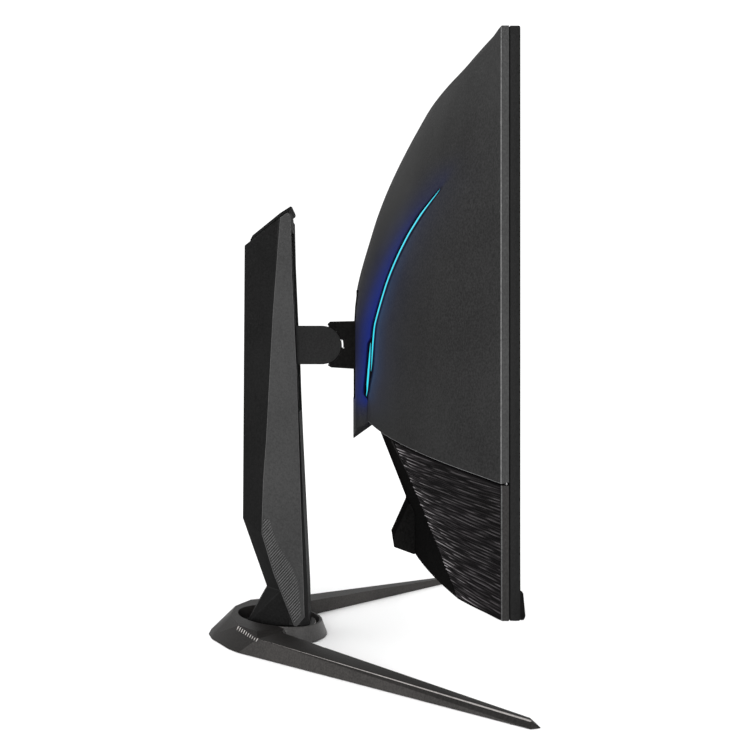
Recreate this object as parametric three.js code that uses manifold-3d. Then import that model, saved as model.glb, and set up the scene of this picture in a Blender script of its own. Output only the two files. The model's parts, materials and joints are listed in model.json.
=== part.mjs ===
// A 27 inch curved desktop monitor on a height-adjustable stand with two splayed feet.
// Millimetres, +Z up. The screen faces -Y, and X runs across its width.
// The origin is on the desk, at the middle of the whole object's bounding box.
import * as THREE from "three";
import { ConvexGeometry } from "three/addons/geometries/ConvexGeometry.js";
import { mergeVertices } from "three/addons/utils/BufferGeometryUtils.js";
import Module from "manifold-3d";

// ---------------------------------------------------------------- driving dimensions
const GAP = 0.3; // clearance left between pieces that touch
// Display head
const HALF_WIDTH = 306;
const HEAD_BOTTOM = 90;
const HEAD_TOP = 460;
const SCREEN_RADIUS = 1800;
const FRONT_AT_EDGE = -107.8; // front of the frame at its left and right edges
const FRAME_DEPTH = 7.5; // front frame, front to back
const SHELL = 3.5; // rear shell thickness, measured front to back
const SHELF_THICKNESS = 3; // under the shield's tip
const BOARD_THICKNESS = 1.6;
const SIDE_BORDER = 6.4;
const TOP_BORDER = 6.4;
const CHIN_HEIGHT = 20;
// Rear shell: a dome that is thickest below the middle
const DOME_RISE = 88; // rise of the dome over its side edges
const DOME_RISE_AT_TOP = 34;
const DOME_FULL_BELOW = 308; // the dome keeps its full rise below this height
const DOME_EXPONENT = 1.8;
const TOP_CHAMFER = { height: 6, depth: 7.5 };
const SHIELD_RISE = 7.8; // the raised middle of the rear shell
const SHIELD_EDGE_X = 52; // where its flat rear face ends
const SHIELD_TOP = 366; // it rises out of the dome below this height
const SHIELD_FADE = 90;
// Seam between the upper rear shell and the lower covers
const SEAM_AT_EDGE = 175;
const SEAM_AT_NOTCH = 199.5;
const NOTCH_X = 76;
const TIP_X = 25;
const TIP_Z = 181;
const UNDERSIDE_SLOPE = 0.85;
// Lower covers
const BOTTOM_RISE = 49;
const WING_TOP_X = 157;
const WING_BOTTOM_X = 246;
const PLATE_TOP = { z: 189, y: -24.6 };
const PLATE_BEND = { z: 124, y: -50.2 };
// Stand
const TILT_Y = 27.1;
const ARM_Z = 264.5;
const ARM_RADIUS = 17.3;
const ARM_HALF_WIDTH = 20;
const SWIVEL_Y = 67;
const TRAVEL_DOWN = 42;
const TRAVEL_UP = 85;
const COLUMN_X = 28; // half width between the side panels
const PANEL_THICKNESS = 2.2;
// Base
const PAD_HEIGHT = 1.6; // set into pockets, standing out by BASE_BOTTOM
const BASE_BOTTOM = 0.5;
const HALF_DEPTH = 131.3;
const HUB_INNER = 37.2;

const EDGE_Y = FRONT_AT_EDGE + FRAME_DEPTH + SHELL; // rear shell's side edge

// ---------------------------------------------------------------- solids
const wasm = await Module();
wasm.setup();

/** A closed BufferGeometry as a manifold-3d solid. */
function solid(geometry) {
  const bare = geometry.clone();
  bare.deleteAttribute("normal");
  bare.deleteAttribute("uv");
  const merged = mergeVertices(bare, 1e-4);
  return new wasm.Manifold(
    new wasm.Mesh({
      numProp: 3,
      vertProperties: new Float32Array(merged.attributes.position.array),
      triVerts: new Uint32Array(merged.index.array),
    }),
  );
}

/** A manifold-3d solid as a flat-shaded BufferGeometry. */
function geometryOf(made) {
  const mesh = made.getMesh();
  const indexed = new THREE.BufferGeometry()
    .setAttribute("position", new THREE.BufferAttribute(new Float32Array(mesh.vertProperties), 3))
    .setIndex(new THREE.BufferAttribute(new Uint32Array(mesh.triVerts), 1));
  const flat = indexed.toNonIndexed();
  flat.computeVertexNormals();
  return flat;
}

const join = (first, ...rest) => rest.reduce((a, b) => a.add(b), first);
const cut = (first, ...rest) => rest.reduce((a, b) => a.subtract(b), first);

function box([x0, x1], [y0, y1], [z0, z1]) {
  const geometry = new THREE.BoxGeometry(x1 - x0, y1 - y0, z1 - z0);
  geometry.translate((x0 + x1) / 2, (y0 + y1) / 2, (z0 + z1) / 2);
  return solid(geometry);
}

function shapeOf(points) {
  return new THREE.Shape(points.map(([a, b]) => new THREE.Vector2(a, b)));
}

function extrusion(shape, depth, segments = 12) {
  return new THREE.ExtrudeGeometry(shape, { depth, bevelEnabled: false, curveSegments: segments });
}

/** A (y, z) outline extruded along X. */
function prismX(outline, x0, x1, segments) {
  const shape = Array.isArray(outline) ? shapeOf(outline) : outline;
  const geometry = extrusion(shape, x1 - x0, segments);
  const turn = new THREE.Matrix4().makeBasis(
    new THREE.Vector3(0, 1, 0),
    new THREE.Vector3(0, 0, 1),
    new THREE.Vector3(1, 0, 0),
  );
  geometry.applyMatrix4(turn);
  geometry.translate(x0, 0, 0);
  return solid(geometry);
}

/** An (x, z) outline extruded along Y. */
function prismY(outline, y0 = -200, y1 = 100, segments = 12) {
  const shape = Array.isArray(outline) ? shapeOf(outline) : outline;
  const geometry = extrusion(shape, y1 - y0, segments);
  geometry.rotateX(Math.PI / 2);
  geometry.translate(0, y1, 0);
  return solid(geometry);
}

/** An (x, y) outline extruded along Z. */
function prismZ(outline, z0, z1, segments = 12) {
  const shape = Array.isArray(outline) ? shapeOf(outline) : outline;
  const geometry = extrusion(shape, z1 - z0, segments);
  geometry.translate(0, 0, z0);
  return solid(geometry);
}

/** A cylinder along an axis, from one end to the other. */
function cylinder(axis, [from, to], [a, b], radius, sides = 24) {
  const geometry = new THREE.CylinderGeometry(radius, radius, to - from, sides);
  if (axis === "x") geometry.rotateZ(Math.PI / 2).translate((from + to) / 2, a, b);
  if (axis === "y") geometry.translate(a, (from + to) / 2, b);
  if (axis === "z") geometry.rotateX(Math.PI / 2).translate(a, b, (from + to) / 2);
  return solid(geometry);
}

/** A (radius, z) profile turned about a vertical axis through (x, y). */
function turned(profile, x, y, sides = 48) {
  const geometry = new THREE.LatheGeometry(
    profile.map(([r, z]) => new THREE.Vector2(r, z)),
    sides,
  );
  geometry.rotateX(Math.PI / 2).translate(x, y, 0);
  return solid(geometry);
}

function hull(points) {
  return solid(new ConvexGeometry(points.map(([x, y, z]) => new THREE.Vector3(x, y, z))));
}

const mirrored = (points) => points.flatMap(([x, y, z]) => [[x, y, z], [-x, y, z]]);
const flipX = (made) => made.mirror([1, 0, 0]);

/** The solid between two surfaces y = near(x, z) and y = far(x, z) over a grid. */
function slab(xs, zs, near, far) {
  const positions = [];
  const columns = xs.length;
  for (const surface of [near, far]) {
    for (const z of zs) for (const x of xs) positions.push(x, surface(x, z), z);
  }
  const layer = columns * zs.length;
  const index = [];
  const quad = (a, b, c, d) => index.push(a, b, c, a, c, d);
  const at = (side, i, j) => side * layer + j * columns + i;
  for (let j = 0; j + 1 < zs.length; j++) {
    for (let i = 0; i + 1 < columns; i++) {
      quad(at(0, i, j), at(0, i + 1, j), at(0, i + 1, j + 1), at(0, i, j + 1));
      quad(at(1, i, j), at(1, i, j + 1), at(1, i + 1, j + 1), at(1, i + 1, j));
    }
  }
  const lastX = columns - 1;
  const lastZ = zs.length - 1;
  for (let i = 0; i < lastX; i++) {
    quad(at(1, i, 0), at(1, i + 1, 0), at(0, i + 1, 0), at(0, i, 0));
    quad(at(0, i, lastZ), at(0, i + 1, lastZ), at(1, i + 1, lastZ), at(1, i, lastZ));
  }
  for (let j = 0; j < lastZ; j++) {
    quad(at(0, 0, j), at(0, 0, j + 1), at(1, 0, j + 1), at(1, 0, j));
    quad(at(1, lastX, j), at(1, lastX, j + 1), at(0, lastX, j + 1), at(0, lastX, j));
  }
  const geometry = new THREE.BufferGeometry();
  geometry.setAttribute("position", new THREE.Float32BufferAttribute(positions, 3));
  geometry.setIndex(index);
  return solid(geometry);
}

/** The solid between two surfaces z = low(x, y) and z = high(x, y) over a grid. */
function sheet(xs, ys, low, high) {
  const flipped = ys.map((y) => -y).reverse();
  const made = slab(xs, flipped, (x, v) => low(x, -v), (x, v) => high(x, -v));
  return made.rotate([90, 0, 0]);
}

// ---------------------------------------------------------------- surfaces of the head
const clamp01 = (v) => Math.min(1, Math.max(0, v));
const lerp = (a, b, t) => a + (b - a) * t;
const smooth = (t) => clamp01(t) ** 2 * (3 - 2 * clamp01(t));
const SAGITTA = SCREEN_RADIUS - Math.sqrt(SCREEN_RADIUS ** 2 - HALF_WIDTH ** 2);

/** Front of the frame: an arc about a vertical axis in front of the screen. */
function frontY(x) {
  const sag = SCREEN_RADIUS - Math.sqrt(SCREEN_RADIUS ** 2 - x * x);
  return FRONT_AT_EDGE + SAGITTA - sag;
}

/** The light guide's line on the rear shell, from its outer tip down to the notch, as (|x|, z). */
const lightCurve = new THREE.CubicBezierCurve(
  new THREE.Vector2(228, 371),
  new THREE.Vector2(150, 335),
  new THREE.Vector2(72, 262),
  new THREE.Vector2(70, 199),
);
const LIGHT_STEPS = 16;
const lightPoints = lightCurve.getPoints(LIGHT_STEPS);

function lightX(z) {
  if (z >= lightPoints[0].y) return lightPoints[0].x;
  const next = lightPoints.findIndex((p) => p.y <= z);
  if (next < 0) return lightPoints[LIGHT_STEPS].x;
  const [a, b] = [lightPoints[next - 1], lightPoints[next]];
  return lerp(a.x, b.x, (a.y - z) / (a.y - b.y));
}

/** Outer face of the upper rear shell. */
function domeY(x, z) {
  const t = clamp01((HEAD_TOP - z) / (HEAD_TOP - DOME_FULL_BELOW));
  const chamfer = TOP_CHAMFER.depth * clamp01(1 - (HEAD_TOP - z) / TOP_CHAMFER.height);
  const rise = lerp(DOME_RISE, DOME_RISE_AT_TOP, (1 - t) ** DOME_EXPONENT) - chamfer;
  const edge = lightX(z);
  const shield = SHIELD_RISE * smooth((SHIELD_TOP - z) / SHIELD_FADE);
  const inside = clamp01((edge - Math.abs(x)) / (edge - SHIELD_EDGE_X));
  return EDGE_Y + rise * (1 - (x / HALF_WIDTH) ** 2) + shield * inside;
}

/** Height of the seam under the upper rear shell. */
function seamZ(x) {
  const t = (HALF_WIDTH - Math.abs(x)) / (HALF_WIDTH - NOTCH_X);
  return lerp(SEAM_AT_EDGE, SEAM_AT_NOTCH, t);
}

/** Outer face of the textured lower covers. */
function lowerY(x, z) {
  const bottom = EDGE_Y + BOTTOM_RISE * (1 - Math.abs(x / HALF_WIDTH) ** 3);
  const seam = EDGE_Y + DOME_RISE * (1 - (x / HALF_WIDTH) ** 2);
  return lerp(bottom, seam, (z - HEAD_BOTTOM) / (seamZ(x) - HEAD_BOTTOM));
}

/** Outer face of the plain plate between the lower covers. */
function plateY(x, z) {
  const t = clamp01((z - PLATE_BEND.z) / (PLATE_TOP.z - PLATE_BEND.z));
  const middle = lerp(PLATE_BEND.y, PLATE_TOP.y, t);
  const flare = lerp(0.000387, 0.00028, clamp01((z - HEAD_BOTTOM) / (PLATE_TOP.z - HEAD_BOTTOM)));
  return middle - flare * x * x;
}

const both = (halves) => [...halves.slice(1).reverse().map((v) => -v), ...halves];
const CURVE_XS = both([0, 51, 102, 153, 204, 255, HALF_WIDTH]);
const DOME_XS = both([0, 26, SHIELD_EDGE_X, 80, 107, 135, 165, 195, 228, 266, HALF_WIDTH]);
const CHAMFER_Z = HEAD_TOP - TOP_CHAMFER.height;
const DOME_ZS = [175, 200, 225, 250, 276, 300, 321, 340, 356, 371, 390, 410, 432, CHAMFER_Z, HEAD_TOP];
const BIG = 1e3;

/** Height of the upper shell's lower edge at x. */
function lowerEdgeZ(x) {
  const t = (Math.abs(x) - TIP_X) / (NOTCH_X - TIP_X);
  return t < 1 ? lerp(TIP_Z, SEAM_AT_NOTCH, clamp01(t)) : seamZ(x);
}

/** Height of the sloping underside between the shell's lower edge and the plate set deeper than it. */
function undersideZ(x, y) {
  const edge = lowerEdgeZ(x);
  return edge + UNDERSIDE_SLOPE * (domeY(x, edge) - y);
}

/** The lower outline of the upper rear shell, moved down by drop. */
function lowerEdge(drop = 0) {
  return [
    [HALF_WIDTH + 1, SEAM_AT_EDGE - drop],
    [NOTCH_X, SEAM_AT_NOTCH - drop],
    [TIP_X, TIP_Z - drop],
    [-TIP_X, TIP_Z - drop],
    [-NOTCH_X, SEAM_AT_NOTCH - drop],
    [-HALF_WIDTH - 1, SEAM_AT_EDGE - drop],
  ];
}

const curved = (xs, zs, near, far) => slab(xs, zs, (x) => frontY(x) + near, (x) => frontY(x) + far);

// ---------------------------------------------------------------- parts list
const head = new THREE.Group();
const finishes = {
  shell: new THREE.MeshStandardMaterial({ color: 0x2c2c2d, roughness: 0.55, metalness: 0.0 }),
  textured: new THREE.MeshStandardMaterial({ color: 0x1d1a1b, roughness: 0.4, metalness: 0.0 }),
  black: new THREE.MeshStandardMaterial({ color: 0x0e0d0d, roughness: 0.35, metalness: 0.0 }),
  frame: new THREE.MeshStandardMaterial({ color: 0x1a1a1a, roughness: 0.5, metalness: 0.0 }),
  panel: new THREE.MeshStandardMaterial({ color: 0x08080a, roughness: 0.15, metalness: 0.0 }),
  light: new THREE.MeshStandardMaterial({ color: 0x22c8e8, roughness: 0.3, emissive: 0x22c8e8 }),
  steel: new THREE.MeshStandardMaterial({ color: 0x9a9c9e, roughness: 0.4, metalness: 1.0 }),
  board: new THREE.MeshStandardMaterial({ color: 0x1d4a2c, roughness: 0.6, metalness: 0.0 }),
  column: new THREE.MeshStandardMaterial({ color: 0x1b1b1b, roughness: 0.6, metalness: 0.0 }),
  trim: new THREE.MeshStandardMaterial({ color: 0x444344, roughness: 0.5, metalness: 0.2 }),
  base: new THREE.MeshStandardMaterial({ color: 0x2b2827, roughness: 0.5, metalness: 0.5 }),
  rubber: new THREE.MeshStandardMaterial({ color: 0x101010, roughness: 0.9, metalness: 0.0 }),
};

function add(name, made, finish, group = head) {
  const mesh = new THREE.Mesh(geometryOf(made), finishes[finish]);
  mesh.name = name;
  group.add(mesh);
}

// ---------------------------------------------------------------- display module
function frontFrame() {
  const ring = curved(CURVE_XS, [HEAD_BOTTOM, HEAD_TOP], 0, FRAME_DEPTH - GAP);
  const opening = box(
    [-HALF_WIDTH + SIDE_BORDER, HALF_WIDTH - SIDE_BORDER],
    [-BIG, BIG],
    [HEAD_BOTTOM + CHIN_HEIGHT, HEAD_TOP - TOP_BORDER],
  );
  return cut(ring, opening);
}

/** A curved sheet that fits the frame's opening. */
function sheetInFrame(near, far) {
  const sheet = curved(CURVE_XS, [HEAD_BOTTOM + CHIN_HEIGHT + GAP, HEAD_TOP - TOP_BORDER - GAP], near, far);
  const width = HALF_WIDTH - SIDE_BORDER - GAP;
  return sheet.intersect(box([-width, width], [-BIG, BIG], [0, BIG]));
}

const CHIN_TRIM = { height: 18, depth: 3.2, chamfer: 3 };

/** A raised strip along the bottom border, with a chamfered top edge. */
function chinTrim() {
  const { height, depth, chamfer } = CHIN_TRIM;
  const zs = [HEAD_BOTTOM, HEAD_BOTTOM + chamfer, HEAD_BOTTOM + height - chamfer, HEAD_BOTTOM + height];
  const proud = (z) => (z === zs[1] || z === zs[2] ? depth : depth * 0.45);
  const strip = slab(CURVE_XS, zs, (x, z) => frontY(x) - GAP - proud(z), (x) => frontY(x) - GAP);
  return strip.intersect(box([2 - HALF_WIDTH, HALF_WIDTH - 2], [-BIG, BIG], [0, BIG]));
}

const STATUS_X = 262;

function statusLens() {
  const z = HEAD_BOTTOM + CHIN_HEIGHT - 1;
  const front = frontY(STATUS_X) - 0.9;
  return box([STATUS_X - 4, STATUS_X + 4], [front - 0.6, front], [z - 0.8, z + 0.8]);
}

add("front_frame", frontFrame(), "frame");
add("lcd_panel", sheetInFrame(0.8, 2.8), "panel");
add("backlight_chassis", sheetInFrame(2.8 + GAP, FRAME_DEPTH - GAP), "steel");
add("chin_trim", chinTrim(), "black");
add("status_lens", statusLens(), "light");

// ---------------------------------------------------------------- rear shell
const RECESS = { half: 48, floor: -11, wall: 3 };
const GUIDE_HALF_WIDTH = 1.3;
const GUIDE_PROUD = 0.5;
const GUIDE_END = 0.86; // share of the light curve that the guide fills

/** A band of constant half width along part of the light curve, as an (x, z) outline. */
function lightBand(halfWidth, from, to, steps = 12) {
  const near = [];
  const far = [];
  for (let i = 0; i <= steps; i++) {
    const t = lerp(from, to, i / steps);
    const point = lightCurve.getPoint(t);
    const across = lightCurve.getTangent(t).rotateAround(new THREE.Vector2(), Math.PI / 2);
    near.push(point.clone().addScaledVector(across, halfWidth));
    far.unshift(point.clone().addScaledVector(across, -halfWidth));
  }
  return new THREE.Shape([...near, ...far]);
}

function rearShell() {
  const above = [[-HALF_WIDTH - 1, HEAD_TOP + 1], ...lowerEdge().reverse(), [HALF_WIDTH + 1, HEAD_TOP + 1]];
  const region = prismY(above);
  const skin = slab(DOME_XS, DOME_ZS, (x, z) => domeY(x, z) - SHELL, domeY).intersect(region);
  const deepest = (x) => Math.min(plateY(x, PLATE_TOP.z), domeY(x, 200)) - SHELL;
  const filled = slab(DOME_XS, DOME_ZS, deepest, domeY);
  // A sloping shelf closes the gap between the shell's lower edge and the plate that sits deeper.
  const shelfTop = (x, y) => undersideZ(x, y) + SHELF_THICKNESS;
  const shelf = sheet(both([0, TIP_X, 50, NOTCH_X, 100, 125, WING_TOP_X]), [-45, 5], undersideZ, shelfTop);
  const below = sheet(both([0, TIP_X, 50, NOTCH_X, 100, 125, WING_TOP_X]), [-45, 5], () => 150, undersideZ);
  const deep = slab(both([0, 40, 80, 120, 160]), [150, 189, 230], () => -200, (x, z) => plateY(x, z) + GAP);
  const plateSpace = join(box([-127, 127], [-BIG, BIG], [0, 230]), prismY(plateOutline(GAP)));
  const lip = cut(shelf.intersect(filled).intersect(region), deep.intersect(plateSpace));
  const { half, floor, wall } = RECESS;
  const reach = half + wall;
  const cup = box([-reach, reach], [floor - SHELL, BIG], [ARM_Z - reach, ARM_Z + reach]);
  const pocket = box([-half, half], [floor, BIG], [ARM_Z - half, ARM_Z + half]);
  let made = cut(join(cut(skin, below), lip, cup.intersect(filled)), pocket);
  const groove = prismY(lightBand(GUIDE_HALF_WIDTH + GAP, 0, GUIDE_END + 0.01));
  made = cut(made, groove, flipX(groove));
  for (const [x, z] of vesaHoles()) made = cut(made, cylinder("y", [-40, 0], [x, z], 2.6, 16));
  return made;
}

const VESA_PITCH = 75;

function vesaHoles() {
  const half = VESA_PITCH / 2;
  return [[-half, ARM_Z + half], [half, ARM_Z + half], [-half, ARM_Z - half], [half, ARM_Z - half]];
}

function lightGuide() {
  const layer = slab(DOME_XS, DOME_ZS, (x, z) => domeY(x, z) - SHELL, (x, z) => domeY(x, z) + GUIDE_PROUD);
  return layer.intersect(prismY(lightBand(GUIDE_HALF_WIDTH, 0.004, GUIDE_END)));
}

function ledBoard() {
  const behind = SHELL + GAP;
  const rear = (x, z) => domeY(x, z) - behind;
  const layer = slab(DOME_XS, DOME_ZS, (x, z) => rear(x, z) - BOARD_THICKNESS, rear);
  return layer.intersect(prismY(lightBand(4, 0.03, 0.83)));
}

add("rear_shell", rearShell(), "shell");
add("light_guide_right", lightGuide(), "light");
add("light_guide_left", flipX(lightGuide()), "light");
add("led_board_right", ledBoard(), "board");
add("led_board_left", flipX(ledBoard()), "board");

// ---------------------------------------------------------------- lower covers
const LOWER_ZS = [HEAD_BOTTOM, 108, PLATE_BEND.z, 140, 156, 172, PLATE_TOP.z, 212];

/** Right-hand textured cover: seam above, frame outside, slanting edge inside. */
function lowerCover() {
  const xs = [140, 165, 190, 215, 240, 262, 284, HALF_WIDTH];
  const skin = slab(xs, LOWER_ZS, (x, z) => lowerY(x, z) - SHELL, lowerY);
  const region = prismY([
    [WING_BOTTOM_X + GAP, HEAD_BOTTOM - 1],
    [HALF_WIDTH + 1, HEAD_BOTTOM - 1],
    [HALF_WIDTH + 1, SEAM_AT_EDGE - GAP],
    [WING_TOP_X + GAP, seamZ(WING_TOP_X) - GAP],
  ]);
  return skin.intersect(region);
}

/** The centre plate's outline as (x, z). Its top edge runs up behind the shell's sloping underside. */
function plateOutline(extra = 0) {
  const half = [
    [WING_BOTTOM_X + extra, HEAD_BOTTOM - 1],
    [WING_TOP_X + extra, seamZ(WING_TOP_X) - GAP + extra],
    [132 + extra, seamZ(132) - GAP + extra],
    [127, 198 + extra],
    [118, 202 + extra],
    [NOTCH_X, 210.5 + extra],
    [TIP_X, 202.5 + extra],
  ];
  return [...half, ...half.map(([x, z]) => [-x, z]).reverse()];
}

const HOOD = { x0: -88, x1: -42 }; // the hood over the sockets, to one side of the column

function centrePlate() {
  const xs = both([0, 40, 80, 120, 160, 200, 250]);
  const skin = slab(xs, LOWER_ZS, (x, z) => plateY(x, z) - SHELL, plateY);
  let made = skin.intersect(prismY(plateOutline()));
  made = cut(made, cylinder("y", [-90, -30], [JOYSTICK.x, JOYSTICK.z], JOYSTICK.hole, 24));
  return cut(made, cylinder("y", [-90, -30], [POWER.x, POWER.z], POWER.radius + 0.5, 24));
}

/** The hood over the sockets: a wedge that is open underneath. */
function socketHood() {
  const outer = prismX(
    [[-56, 134], [-47.6, 131.5], [-34.6, 102.5], [-35.6, 96], [-52, HEAD_BOTTOM], [-56, HEAD_BOTTOM]],
    HOOD.x0,
    HOOD.x1,
  );
  const wall = 2.2;
  const inner = prismX(
    [[-60, 127], [-48.4, 127], [-37.2, 102], [-37.8, 94.5], [-37.8, 80], [-60, 80]],
    HOOD.x0 + wall,
    HOOD.x1 - wall,
  );
  // The hood stands on the plate with the usual gap.
  const behindPlate = slab([-100, -65, -30], [80, ...LOWER_ZS], () => -200, (x, z) => plateY(x, z) + GAP);
  return cut(outer, inner, behindPlate);
}

const SOCKETS = {
  power_jack: { x: -80, wide: 9, deep: 8.6, mouth: [6, 6] },
  video_socket: { x: -65, wide: 17.5, deep: 8, mouth: [14, 5] },
  audio_jack: { x: -50, wide: 8, deep: 8, mouth: [5, 5] },
};
const SOCKET_Y = -45.6;
const SOCKET_Z = [97, 108.5];

/** A socket block, open underneath. */
function socket({ x, wide, deep, mouth }) {
  const [bottom, top] = SOCKET_Z;
  const block = box([x - wide / 2, x + wide / 2], [SOCKET_Y - deep / 2, SOCKET_Y + deep / 2], SOCKET_Z);
  const [mouthWide, mouthDeep] = mouth;
  const hollow = box(
    [x - mouthWide / 2, x + mouthWide / 2],
    [SOCKET_Y - mouthDeep / 2, SOCKET_Y + mouthDeep / 2],
    [bottom - 1, top - 3],
  );
  return cut(block, hollow);
}

const JOYSTICK = { x: 196, z: 116, hole: 7.2 };
const POWER = { x: 160, z: 116, radius: 5 };

add("lower_cover_right", lowerCover(), "textured");
add("lower_cover_left", flipX(lowerCover()), "textured");
add("centre_plate", centrePlate(), "black");
add("socket_hood", socketHood(), "black");
for (const [name, spec] of Object.entries(SOCKETS)) add(name, socket(spec), "steel");

// ---------------------------------------------------------------- inside the head
const CHASSIS_REAR = FRAME_DEPTH;
const CHASSIS_REAR_MIDDLE = frontY(0) + CHASSIS_REAR;

/** The steel hat that carries the stand's load into the display chassis. */
function mountFrame() {
  const rear = RECESS.floor - SHELL - GAP;
  const [left, bottom, top] = [60, ARM_Z - 50, ARM_Z + 50];
  const thick = 2;
  const front = CHASSIS_REAR_MIDDLE + GAP;
  let made = box([-left, left], [rear - 6 - thick, rear - 6], [bottom, top]);
  for (const side of [-1, 1]) {
    const leg = [side * left, side * (left - thick)].sort((a, b) => a - b);
    const flange = [side * left, side * (left + 14)].sort((a, b) => a - b);
    made = join(made, box(leg, [front, rear - 6], [bottom, top]));
    made = join(made, box(flange, [front, front + thick], [bottom, top]));
  }
  for (const [x, z] of vesaHoles()) {
    made = join(made, cylinder("y", [rear - 7, rear], [x, z], 5.5, 16));
    made = cut(made, cylinder("y", [rear - 12, rear + 1], [x, z], 2.5, 16));
  }
  return made;
}

function mainBoard() {
  const y = CHASSIS_REAR_MIDDLE + 8;
  const plate = box([-60, 74], [y, y + BOARD_THICKNESS], [116, 186]);
  const processor = box([-14, 14], [y + BOARD_THICKNESS, y + 8], [140, 168]);
  return join(plate, processor);
}

function powerBoard() {
  const y = CHASSIS_REAR_MIDDLE + 4;
  const plate = box([-78, 78], [y, y + BOARD_THICKNESS], [330, 400]);
  const transformer = box([-50, -18], [y + BOARD_THICKNESS, y + 18], [346, 376]);
  const capacitor = cylinder("y", [y + 1, y + 22], [32, 360], 9, 16);
  return join(plate, transformer, capacitor);
}

add("mount_frame", mountFrame(), "steel");
add("main_board", mainBoard(), "board");
add("power_board", powerBoard(), "board");

// ---------------------------------------------------------------- controls
const JOY_Y = plateY(JOYSTICK.x, JOYSTICK.z); // plate surface at the joystick

function joystickSwitch() {
  const { x, z } = JOYSTICK;
  const y = JOY_Y - SHELL - 4;
  return cut(
    box([x - 9, x + 9], [y - 7, y], [z - 9, z + 9]),
    box([x - 6, x + 6], [y - 5, y + 1], [z - 6, z + 6]),
  );
}

function joystickPlunger() {
  const { x, z } = JOYSTICK;
  const y = JOY_Y - SHELL - 4;
  return box([x - 4, x + 4], [y - 3.6, y - 0.6], [z - 4, z + 4]);
}

function joystickYoke() {
  const { x, z } = JOYSTICK;
  const y = JOY_Y - SHELL - 4;
  const ring = cut(
    cylinder("y", [y + 0.2, y + 1.8], [x, z], 4.6, 16),
    cylinder("y", [y - 1, y + 3], [x, z], 2.6, 16),
  );
  return ring;
}

function joystickCap() {
  const { x, z } = JOYSTICK;
  const base = JOY_Y - SHELL - 4;
  const top = JOY_Y + 3.6;
  const stem = cylinder("y", [base, top - 2], [x, z], 1.8, 16);
  const cap = cylinder("y", [top - 2.6, top], [x, z], 5.4, 24);
  return join(stem, cap);
}

function powerButton() {
  const { x, z, radius } = POWER;
  const y = plateY(x, z);
  return join(
    cylinder("y", [y - 2, y + 1.8], [x, z], radius, 24),
    cylinder("y", [y - SHELL - 3.8, y - SHELL - 1.8], [x, z], radius + 1.6, 24),
    cylinder("y", [y - SHELL - 2, y - 1.9], [x, z], radius, 24),
  );
}

add("joystick_switch", joystickSwitch(), "frame");
add("joystick_plunger", joystickPlunger(), "steel");
add("joystick_yoke", joystickYoke(), "frame");
add("joystick_cap", joystickCap(), "black");
add("power_button", powerButton(), "black");

// ---------------------------------------------------------------- stand head and arm
const VESA_PLATE = { half: 46, front: RECESS.floor + GAP, thick: 3 };
const FLANGE_Y = VESA_PLATE.front + VESA_PLATE.thick + GAP;
const EAR = { inner: 8.2, outer: 11.2, radius: 9.5 };
const PIN_RADIUS = 4;
const SEAT_RADIUS = ARM_RADIUS + 1.1;
const WINDOW = { y: [6.8, 10], z: [ARM_Z - 2.8, ARM_Z + 5] };

function vesaPlate() {
  const { half, front, thick } = VESA_PLATE;
  let made = box([-half, half], [front, front + thick], [ARM_Z - half, ARM_Z + half]);
  for (const [x, z] of vesaHoles()) made = cut(made, cylinder("y", [-30, 0], [x, z], 2.6, 16));
  return made;
}

function vesaScrew([x, z]) {
  const seat = VESA_PLATE.front + VESA_PLATE.thick + GAP;
  return join(
    cylinder("y", [seat, seat + 2.6], [x, z], 4.6, 16),
    cylinder("y", [-26, seat + 1], [x, z], 2, 12),
  );
}

/** The gap that shows daylight between the arm's round end and its seat. */
const daylight = () => box([-BIG, BIG], WINDOW.y, WINDOW.z);

function tiltBracket() {
  const flange = box([-21, 21], [FLANGE_Y, FLANGE_Y + 3], [ARM_Z - 19, ARM_Z + 19]);
  let made = flange;
  for (const side of [-1, 1]) {
    const xs = [side * EAR.inner, side * EAR.outer].sort((a, b) => a - b);
    const bar = box(xs, [FLANGE_Y + 1, TILT_Y], [ARM_Z - EAR.radius, ARM_Z + EAR.radius]);
    made = join(made, bar, cylinder("x", xs, [TILT_Y, ARM_Z], EAR.radius, 32));
  }
  return cut(made, cylinder("x", [-40, 40], [TILT_Y, ARM_Z], PIN_RADIUS + 0.35, 24), daylight());
}

function bracketCover() {
  const front = FLANGE_Y;
  const outline = [
    [front, 286], [19.5, 285.4], [21.6, 283.4], [21.6, 246.4], [18.6, 244.4], [front, 242.8],
  ];
  const half = RECESS.half - 0.6;
  let made = join(
    prismX(outline, -24, 24),
    slab(
      [-half, 0, half],
      [ARM_Z - half, 250, 276, 300, ARM_Z + half],
      () => front + 3 + GAP,
      (x, z) => domeY(x, z) - GAP,
    ),
  );
  made = cut(made, cylinder("x", [-BIG, BIG], [TILT_Y, ARM_Z], SEAT_RADIUS, 48));
  made = cut(made, box([-21.4, 21.4], [front - 1, front + 3 + GAP], [ARM_Z - 19.4, ARM_Z + 19.4]));
  for (const side of [-1, 1]) {
    const xs = [side * (EAR.inner - 0.4), side * (EAR.outer + 0.4)].sort((a, b) => a - b);
    made = cut(made, box(xs, [front, 30], [ARM_Z - EAR.radius - 0.4, ARM_Z + EAR.radius + 0.4]));
  }
  return cut(made, daylight());
}

const WASHER = { thick: 1.8, radius: 8 };
const CARRIAGE = { y: [56.3, 68.4], half: 22.5, halfHeight: 19 };
const RAIL = { x: [19.6, 22.8], y: [60, 64.6] };

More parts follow.
